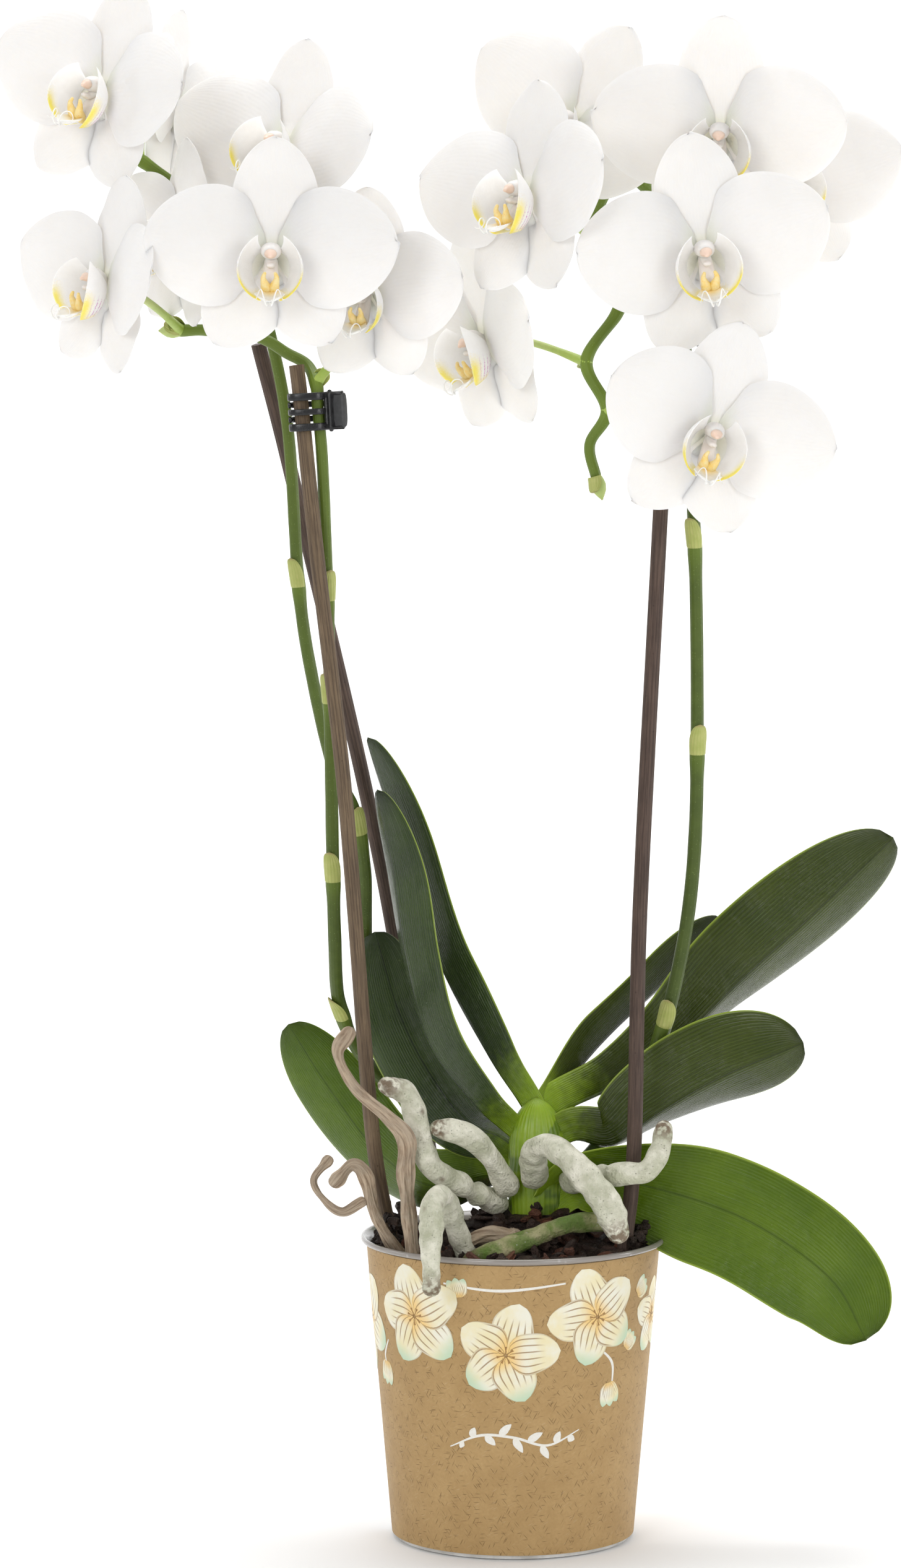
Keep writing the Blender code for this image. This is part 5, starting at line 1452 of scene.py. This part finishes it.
def fibres(tree, along, over, angle, width, seed):
    """Short lines: cells stretched along one direction, only their cores."""
    c, s = math.cos(angle), math.sin(angle)
    u = maths(tree, "ADD", maths(tree, "MULTIPLY", along, c), maths(tree, "MULTIPLY", over, s))
    v = maths(tree, "SUBTRACT", maths(tree, "MULTIPLY", over, c), maths(tree, "MULTIPLY", along, s))
    lay = node(tree, "ShaderNodeCombineXYZ",
               {0: maths(tree, "MULTIPLY", u, FIBRE_ALONG),
                1: maths(tree, "MULTIPLY", v, FIBRE_ACROSS), 2: seed}).outputs[0]
    bent = node(tree, "ShaderNodeTexNoise", {"Vector": lay, "Scale": 0.6, "Detail": 1.0})
    lay = node(tree, "ShaderNodeVectorMath", {0: lay, 1: bent.outputs[1]}, operation="ADD").outputs[0]
    cells = node(tree, "ShaderNodeTexVoronoi", {"Vector": lay, "Scale": 1.0})
    pick = node(tree, "ShaderNodeSeparateColor", {"Color": cells.outputs["Color"]}).outputs[0]
    return maths(tree, "MULTIPLY", ramp(tree, cells.outputs["Distance"], width, width * 0.3),
                 maths(tree, "LESS_THAN", pick, FIBRE_SHARE))


def kraft_finish():
    """Brown paper with clouds, dark and pale fibres and a slight gloss."""
    made, tree, shader = finish_of("label_kraft", Specular_IOR_Level=0.2)
    along, over = map_parts(tree)
    cloud = effect(tree, "mottle", Size_mm=9.0, Contrast=0.3)
    grain = effect(tree, "mottle", Size_mm=0.8, Contrast=0.3)
    kraft = blend_colour(tree, cloud["Mask"], (0.395, 0.255, 0.108), (0.470, 0.315, 0.142))
    kraft = blend_colour(tree, maths(tree, "MULTIPLY", grain["Mask"], 0.35), kraft,
                         (0.310, 0.190, 0.078))
    dark = maths(tree, "MAXIMUM", fibres(tree, along, over, 0.5, 0.33, 1.0),
                 fibres(tree, along, over, -0.7, 0.33, 5.0))
    dark = maths(tree, "MAXIMUM", dark, fibres(tree, along, over, 1.5, 0.30, 9.0))
    pale = fibres(tree, along, over, 1.1, 0.28, 13.0)
    kraft = blend_colour(tree, maths(tree, "MULTIPLY", dark, 0.65), kraft, (0.105, 0.058, 0.024))
    kraft = blend_colour(tree, maths(tree, "MULTIPLY", pale, 0.35), kraft, (0.52, 0.40, 0.24))
    plug(tree, shader, kraft, maths(tree, "MULTIPLY_ADD", grain["Fine"], 0.2, 0.42),
         ((grain["Mask"], 0.03), (dark, 0.02)))
    return made


def ink_finish():
    """Cream ink, yellow near the middle, pale green at some tips, brown lines."""
    made, tree, shader = finish_of("print_ink", Specular_IOR_Level=0.35)
    along, over = map_parts(tree)
    tint = tint_of(tree)
    cloud = effect(tree, "mottle", Size_mm=7.0, Contrast=0.2)
    ink = blend_colour(tree, cloud["Mask"], (0.80, 0.78, 0.66), (0.78, 0.70, 0.44))
    ink = blend_colour(tree, maths(tree, "MULTIPLY", ramp(tree, along, 0.62, 1.0), tint), ink,
                       (0.50, 0.64, 0.46))
    ink = blend_colour(tree, ramp(tree, along, 0.38, 0.05, 0.0, 0.85), ink, (0.80, 0.52, 0.16))
    line = maths(tree, "SINE", maths(tree, "MULTIPLY", over, 19.0))
    line = maths(tree, "MULTIPLY", ramp(tree, line, 0.72, 0.93), ramp(tree, along, 0.74, 0.5))
    outline = ramp(tree, maths(tree, "ABSOLUTE", over), 0.90, 0.97)
    brown = maths(tree, "MAXIMUM", maths(tree, "MULTIPLY", line, 0.8),
                  maths(tree, "MULTIPLY", outline, 0.35))
    ink = blend_colour(tree, brown, ink, (0.28, 0.16, 0.06))
    plug(tree, shader, ink, maths(tree, "MULTIPLY_ADD", cloud["Fine"], 0.15, 0.38),
         ((cloud["Fine"], 0.01),))
    return made


def white_ink_finish():
    """Off-white ink a little worn by the paper's grain."""
    made, tree, shader = finish_of("white_ink", Specular_IOR_Level=0.3)
    grain = effect(tree, "mottle", Size_mm=0.7, Contrast=0.25)
    ink = blend_colour(tree, maths(tree, "MULTIPLY", grain["Mask"], 0.25), (0.80, 0.79, 0.74),
                       (0.60, 0.50, 0.34))
    plug(tree, shader, ink, maths(tree, "MULTIPLY_ADD", grain["Fine"], 0.15, 0.4))
    return made


def brown_ink_finish():
    """Dark brown ink for the middles of the blossoms."""
    made, tree, shader = finish_of("brown_ink", Specular_IOR_Level=0.3)
    grain = effect(tree, "mottle", Size_mm=0.7, Contrast=0.25)
    tone = blend_colour(tree, grain["Mask"], (0.26, 0.14, 0.05), (0.42, 0.24, 0.08))
    plug(tree, shader, tone, maths(tree, "MULTIPLY_ADD", grain["Fine"], 0.15, 0.4))
    return made


KRAFT = kraft_finish()
PRINT_FINISHES = [KRAFT, ink_finish(), white_ink_finish(), brown_ink_finish()]
print("sleeve finishes:", [made.name for made in PRINT_FINISHES])

# %% [markdown]
# The profile of the sheet is two lines close to the wall, joined at top and
# bottom.  Turning it leaves its two upright ends open, so a narrow strip
# closes each of them.

# %% Sleeve
SLEEVE_OPEN, SLEEVE_OPEN_AT = math.radians(24.0), math.radians(160.0)
SLEEVE_LOW, SLEEVE_HIGH = 1.6, 87.9
SLEEVE_IN, SLEEVE_OUT = 0.35, 0.85  # distances of its two faces from the wall
heights = np.linspace(SLEEVE_LOW, SLEEVE_HIGH, 12)
skin = [(wall_radius(z) + SLEEVE_OUT, z) for z in heights] \
    + [(wall_radius(z) + SLEEVE_IN, z) for z in heights[::-1]]
skin.append(skin[0])
sleeve = turned(skin, 150, 0.0, SLEEVE_OPEN_AT + SLEEVE_OPEN / 2, 2 * np.pi - SLEEVE_OPEN)


def end_strip(turn):
    """Points (r cos turn, r sin turn, z) over the heights and the thickness."""
    inner = np.array([wall_radius(z) + SLEEVE_IN for z in heights])
    outer = inner + SLEEVE_OUT - SLEEVE_IN
    radius = np.stack([inner, outer], -1)
    return surface(np.stack([radius * math.cos(turn), radius * math.sin(turn),
                             np.broadcast_to(heights[:, None], radius.shape)], -1))


edges = [end_strip(SLEEVE_OPEN_AT + SLEEVE_OPEN / 2), end_strip(SLEEVE_OPEN_AT - SLEEVE_OPEN / 2)]
piece("sleeve_paper", [sleeve] + edges, [KRAFT], ["label_sleeve"])

# %% [markdown]
# The print is a border of plain five-petalled blossoms and buds with pen
# strokes and a thin leafy sprig below.  Each is a patch of ink, planned flat
# and wrapped on the cone, because a picture would need a file.

# %% Print
PRINT_RADIUS = 40.0  # turns a flat distance into an angle round the pot
INK_THICK = 0.04
CREAM, WHITE, BROWN = 1, 2, 3  # places of the inks in PRINT_FINISHES
# Blossoms: place to the right of the front, height, reach of a petal, turn.
BLOSSOMS = [(-30.5, 71.0, 15.5, 12), (-2.5, 61.5, 15.0, -14), (24.5, 71.5, 15.0, 22),
            (53.0, 68.0, 11.5, 0), (-61.0, 67.0, 16.5, 30), (84.0, 71.0, 12.0, 8),
            (-92.0, 70.0, 12.0, 17)]
# Buds: place, height, direction, length.
BUDS = [(30, 51.5, -80, 7.5), (36.5, 60.5, 50, 6.0), (-15.5, 78, 100, 6.0),
        (40.5, 76, 35, 6.5), (-46, 55.5, -100, 7.5), (68, 56, -75, 7.5)]
PEN_STROKES = [[(26, 62), (31, 57), (31.5, 50)], [(-44, 62), (-47, 57), (-45.5, 53)],
               [(-20, 82), (-4, 80.6), (14, 82.4)], [(63, 64), (67, 60), (68.5, 54)]]
SPRIG = [(-20, 33.5), (-10, 37.5), (0, 37.0), (10, 34.5), (20, 38.5)]


def on_sleeve(x, z, lift):
    """Wrap flat print places (mm to the right of the front, height) on the cone."""
    radius = wall_radius(z) + SLEEVE_OUT + lift
    turn = -np.pi / 2 + x / PRINT_RADIUS
    return np.stack([radius * np.cos(turn), radius * np.sin(turn), z], -1)


def ink_patch(x, z, material, lift, tint=0.0):
    """A closed thin sheet of ink over a grid of flat print places."""
    out, low = on_sleeve(x, z, lift + INK_THICK), on_sleeve(x, z, lift)
    rows, cols = x.shape
    u, v = np.meshgrid(np.linspace(0, 1, rows), np.linspace(-1, 1, cols), indexing="ij")
    maps = np.stack([u, v], -1)
    points = np.concatenate([out, low[:, ::-1], out[:, :1]], 1)
    maps = np.concatenate([maps, maps[:, ::-1], maps[:, :1]], 1)
    return surface(points, maps, material, tint)


def ink_petal(cx, cz, angle, length, half, lift, tint, start, blunt, material=CREAM):
    """Half width = half * sin(pi * s^0.8)^blunt along a straight direction."""
    s = np.linspace(0, 1, 17)[:, None]
    w = np.linspace(-1, 1, 11)[None, :]
    wide = half * np.sin(np.pi * s ** 0.8).clip(0) ** blunt * (1 + 0.05 * np.sin(9 * s + w))
    run = start + (length - start) * s
    c, d = math.cos(math.radians(angle)), math.sin(math.radians(angle))
    x, z = cx + run * c - w * wide * d, cz + run * d + w * wide * c
    return ink_patch(x, z.clip(SLEEVE_LOW + 0.3, SLEEVE_HIGH - 0.2), material, lift, tint)


def ink_line(points, widths, lift=0.03, material=WHITE):
    """A pen stroke: a strip of changing width along a smooth line."""
    flat = smooth_line([(x, z, 0.0) for x, z in points], 40)
    way = np.gradient(flat, axis=0)
    way /= np.linalg.norm(way, axis=1)[:, None]
    w = np.linspace(-1, 1, 3)[None, :]
    half = np.interp(np.linspace(0, 1, 40), np.linspace(0, 1, len(widths)), widths)[:, None] / 2
    return ink_patch(flat[:, :1] - way[:, 1:2] * w * half, flat[:, 1:2] + way[:, :1] * w * half,
                     material, lift)


def blossom(x, z, reach, roll, seed):
    """Five overlapping petals and seven brown dashes round their middle."""
    inks = [ink_petal(x, z, 90 + roll + 72 * k, reach * (1 + 0.06 * math.sin(5 * k + seed)),
                      reach * 0.42, 0.02 + 0.012 * k, float(k in (2, 3)), 0.5, 0.55)
            for k in range(5)]
    for k in range(7):
        a = math.radians(roll + 360 / 7 * k)
        dash = [(x + far * math.cos(a), z + far * math.sin(a)) for far in (0.4, 2.6)]
        inks.append(ink_line(dash, [0.3, 0.25, 0.8], 0.09, BROWN))
    return inks


ink = []
for seed, row in enumerate(BLOSSOMS):
    ink += blossom(*row, seed)
for x, z, angle, size in BUDS:
    for k, turn in enumerate((-24, 24, 0)):
        ink.append(ink_petal(x, z, angle + turn, size, size * 0.30, 0.02 + 0.012 * k, 1.0, 0.2, 0.6))
for points in PEN_STROKES:
    ink.append(ink_line(points, [0.5, 0.9, 0.5], 0.02))
ink.append(ink_line(SPRIG, [0.3, 0.8, 0.8, 0.7, 0.3]))
sprig_line = smooth_line([(x, z, 0.0) for x, z in SPRIG], 40)
for k, at in enumerate(range(3, 38, 4)):
    slope = math.degrees(math.atan2(*(sprig_line[at + 1] - sprig_line[at - 1])[[1, 0]]))
    side = 1 if k % 2 else -1
    ink.append(ink_petal(*sprig_line[at, :2], slope + side * 48, 5.4 - 0.012 * (at - 20) ** 2,
                         1.15, 0.05, 0.0, 0.2, 0.8, WHITE))
piece("sleeve_print", ink, PRINT_FINISHES, [])

# %% [markdown]
# ## Claw clips
# Two moulded halves hinge on a pin; fingers of one pass between fingers of the
# other and close round stick and stem, and a coil spring on the pin shuts
# them.  Each bar is a rounded rectangle carried along the clip's plan line.


# %% Clip finishes
def clip_finish(name, low, high, rough):
    """Black moulded plastic or rubber, with faint mould texture and dust."""
    made, tree, shader = finish_of(name, Specular_IOR_Level=0.5)
    mottle = effect(tree, "mottle", Size_mm=1.6, Contrast=0.3)
    dust = effect(tree, "specks", Size_mm=0.7, Share=0.12, Radius=0.2)
    tone = blend_colour(tree, mottle["Mask"], low, high)
    tone = blend_colour(tree, maths(tree, "MULTIPLY", dust["Mask"], 0.35), tone, (0.20, 0.20, 0.19))
    plug(tree, shader, tone, maths(tree, "MULTIPLY_ADD", mottle["Fine"], 0.15, rough),
         ((mottle["Fine"], 0.03),))
    return made


def spring_finish():
    """Bright drawn wire with fine rings of wear."""
    made, tree, shader = finish_of("spring_wire", Metallic=1.0)
    mottle = effect(tree, "mottle", Size_mm=0.6, Contrast=0.3)
    tone = blend_colour(tree, mottle["Mask"], (0.46, 0.45, 0.43), (0.66, 0.65, 0.63))
    plug(tree, shader, tone, maths(tree, "MULTIPLY_ADD", mottle["Fine"], 0.2, 0.18))
    return made


CLIP_FINISHES = [clip_finish("clip_black", (0.007, 0.007, 0.008), (0.016, 0.016, 0.017), 0.14),
                 clip_finish("clip_pad", (0.030, 0.031, 0.033), (0.050, 0.051, 0.053), 0.42),
                 spring_finish()]
print("clip finishes:", [made.name for made in CLIP_FINISHES])

# %% [markdown]
# Seen from above, a half is one bent line: handle, pin, then a long finger
# that curls round stick and stem.  The back half holds the pin and spring and
# stays on the plant; the front half rides its own body, so it opens.

# %% Clip pieces
TAB_HEIGHT, BAR_THICK = 11.0, 1.0
PAD_HEIGHT, PAD_THICK, RIB_THICK = 9.8, 1.9, 0.7
RIB_LEVELS = (-2.6, 0.0, 2.6)
PIN_RADIUS, PIN_REACH, KNOB_RADIUS, KNOB_REACH = 0.7, 5.4, 1.05, 5.3
WIRE_RADIUS, COIL_RADIUS, COIL_TURNS, COIL_REACH = 0.17, 0.98, 5.5, 1.05
PLASTIC, PAD, WIRE = 0, 1, 2  # places in CLIP_FINISHES
# The two clips: place of the pin's middle and lean to the side, in degrees.
CLIPS = {"clip_left": ((-53.2, -14.2, 333.0), -3.0), "clip_right": ((52.6, -16.0, 357.5), -2.0)}
# The halves: name, side, how far the tab bows at the pin, low and high edge of
# each finger, and whether it holds the pin.
HALVES = (("back", 1.0, 0.9, ((-3.0, -1.2), (1.2, 3.0)), True),
          ("front", -1.0, 1.55, ((-5.5, -3.3), (-0.9, 0.9), (3.3, 5.5)), False))


def bar(line, tall, thick, material=0, power=4.0, end_scale=0.7):
    """Superellipse |a|^power + |b|^power = 1 of the given height and thickness
    carried along a plan line; its end stations shrink and close on the line."""
    line = np.array(line, float)
    way = np.gradient(line, axis=0)
    way /= np.linalg.norm(way, axis=1)[:, None]
    off = np.stack([way[:, 1], -way[:, 0], 0 * way[:, 0]], -1)
    ends = [line[0] - way[0] * 0.22, line[-1] + way[-1] * 0.22]
    line = np.vstack([ends[:1], ends[:1], line, ends[1:], ends[1:]])
    off = np.vstack([off[:1], off[:1], off, off[-1:], off[-1:]])
    n = len(line) - 4
    grow = np.r_[0, end_scale, np.ones(n), end_scale, 0][:, None]
    turn = np.linspace(0, 2 * np.pi, 29)
    c = np.sign(np.cos(turn)) * np.abs(np.cos(turn)) ** (2 / power)
    s = np.sign(np.sin(turn)) * np.abs(np.sin(turn)) ** (2 / power)
    points = line[:, None, :] + (grow * s * thick / 2)[..., None] * off[:, None, :]
    points[..., 2] += grow * c * tall / 2
    points[:, -1] = points[:, 0]
    return surface(points, None, material)


def clip_half(side, near, spans, pinned):
    """Tab from handle to pin at full height, then a finger for every span."""
    plan = [(3.58, 4.59), (1.4, near + 0.9), (0.0, near), (-1.4, near + 0.7), (-3.7, 3.65),
            (-9.16, 3.65), (-11.45, 2.26), (-11.75, -0.2)]
    line = smooth_line([(x, side * y, 0.0) for x, y in plan], 60)
    split = int(np.abs(line[:, 0] + 1.3).argmin())
    parts = [bar(line[:split + 1], TAB_HEIGHT, BAR_THICK, PLASTIC, 6.0)]
    for low, high in spans:
        finger = line[split - 2:] + np.array([0, 0, (low + high) / 2])
        parts.append(bar(finger, high - low, BAR_THICK))
    pad = line[:11] + np.array([0.45, side * 0.25, 0.0])
    parts.append(bar(pad, PAD_HEIGHT, PAD_THICK, PAD, 3.0, 0.8))
    for z in RIB_LEVELS:
        rib = line[1:12] + np.array([0.30, side * 0.80, z])
        parts.append(bar(rib, RIB_THICK, RIB_THICK, PAD, 2.5, 0.6))
    return parts + (pin_and_spring() if pinned else [])


def upright(low, high, count):
    """A straight vertical path through the pin's middle."""
    return np.stack([np.zeros(count), np.zeros(count), np.linspace(low, high, count)], -1)


def pin_and_spring():
    """The pin, a knob at each end, and the coil: a helix of 5.5 turns."""
    parts = [swept(upright(-PIN_REACH, PIN_REACH, 12), PIN_RADIUS, 20)]
    for z in (-KNOB_REACH, KNOB_REACH):
        parts.append(swept(upright(z - 0.25, z + 0.25, 4), KNOB_RADIUS, 20, round_ends=False))
    run = np.linspace(0, 1, 150)
    turn = 2 * np.pi * COIL_TURNS * run
    coil = np.stack([COIL_RADIUS * np.cos(turn), COIL_RADIUS * np.sin(turn),
                     COIL_REACH * (2 * run - 1)], -1)
    return parts + [swept(coil, WIRE_RADIUS, 8, (0, 0, 1), material=WIRE)]


for name, (place, lean) in CLIPS.items():
    c, s = math.cos(math.radians(lean)), math.sin(math.radians(lean))
    tilt = np.array([[c, 0, s], [0, 1, 0], [-s, 0, c]])
    for part, side, near, spans, pinned in HALVES:
        half = [(p @ tilt.T + np.array(place), m, k, t)
                for p, m, k, t in clip_half(side, near, spans, pinned)]
        piece(name + "_" + part, half, CLIP_FINISHES, [name + "_" + part + "_jaw"],
              "plant" if pinned else name + "_jaw")

# %% [markdown]
# ## Sweep and lamps
# The sweep is one sheet: floor, quarter circle, wall.  Seen from behind it is
# clear, so the back of the plant can be looked at too.

# %% Sweep, in metres
FLOOR_FRONT, WALL_PLACE, WALL_TOP, BEND_RADIUS = -3.0, 2.0, 4.0, 0.8
SWEEP_COLUMNS = np.linspace(-4, 4, 9)
turn = np.linspace(0, np.pi / 2, 24)
bend = np.stack([WALL_PLACE - BEND_RADIUS * (1 - np.sin(turn)), BEND_RADIUS * (1 - np.cos(turn))], -1)
profile = np.vstack([[(FLOOR_FRONT, 0.0)], bend, [(WALL_PLACE, WALL_TOP)]])
sweep_x, sweep_y = np.meshgrid(SWEEP_COLUMNS, profile[:, 0])
sweep_z = np.broadcast_to(profile[:, 1:], sweep_x.shape)
sweep_mesh = bpy.data.meshes.new("sweep")
sweep_mesh.from_pydata(np.stack([sweep_x, sweep_y, sweep_z], -1).reshape(-1, 3).tolist(), [],
                       grid_faces(*sweep_x.shape, 0).tolist())
sweep_mesh.shade_smooth()
sweep = bpy.data.objects.new("sweep", sweep_mesh)
bpy.context.scene.collection.objects.link(sweep)
sweep_finish, sweep_tree, sweep_shader = finish_of(
    "studio_white", Base_Color=(0.93, 0.93, 0.93), Roughness=0.9, Specular_IOR_Level=0.1)
behind = sweep_tree.nodes.new("ShaderNodeNewGeometry").outputs["Backfacing"]
clear = sweep_tree.nodes.new("ShaderNodeBsdfTransparent")
blend = sweep_tree.nodes.new("ShaderNodeMixShader")
sweep_tree.links.new(behind, blend.inputs[0])
sweep_tree.links.new(sweep_shader.outputs[0], blend.inputs[1])
sweep_tree.links.new(clear.outputs[0], blend.inputs[2])
sweep_tree.links.new(blend.outputs[0], sweep_tree.nodes["Material Output"].inputs["Surface"])
sweep_mesh.materials.append(sweep_finish)
print("sweep", len(sweep_mesh.polygons), "faces")

# %% [markdown]
# The white world does most of the work, as a white room would.  Two soft lamps
# in front shape the petals, one at each side puts a sheen on the leaves, and
# one high up whitens the wall.

# %% Lamps
WORLD_STRENGTH = 0.47
# Lamps: name, place, point it looks at, size in metres, watts.
LAMPS = [("key_left", (-1.0, -1.9, 0.9), (0, 0, 0.25), 0.9, 12),
         ("fill_right", (1.1, -1.7, 0.6), (0, 0, 0.22), 0.9, 8),
         ("side_right", (1.5, 0.3, 0.5), (0, 0, 0.22), 0.6, 6),
         ("side_left", (-1.5, 0.3, 0.6), (0, 0, 0.25), 0.6, 3),
         ("wall_light", (0, 0.6, 2.2), (0, 1.9, 0.6), 1.6, 46)]
world = bpy.data.worlds.new("studio")
bpy.context.scene.world = world
world.use_nodes = True
world.node_tree.nodes["Background"].inputs["Color"].default_value = (1.0, 1.0, 1.0, 1.0)
world.node_tree.nodes["Background"].inputs["Strength"].default_value = WORLD_STRENGTH


def soft_lamp(name, place, target, size, watts):
    """A square area lamp that looks at a point."""
    data = bpy.data.lights.new(name, "AREA")
    data.size, data.energy = size, watts
    lamp = bpy.data.objects.new(name, data)
    bpy.context.scene.collection.objects.link(lamp)
    lamp.location = place
    lamp.rotation_euler = (Vector(target) - Vector(place)).to_track_quat("-Z", "Y").to_euler()


for row in LAMPS:
    soft_lamp(*row)
print(len(LAMPS), "lamps")
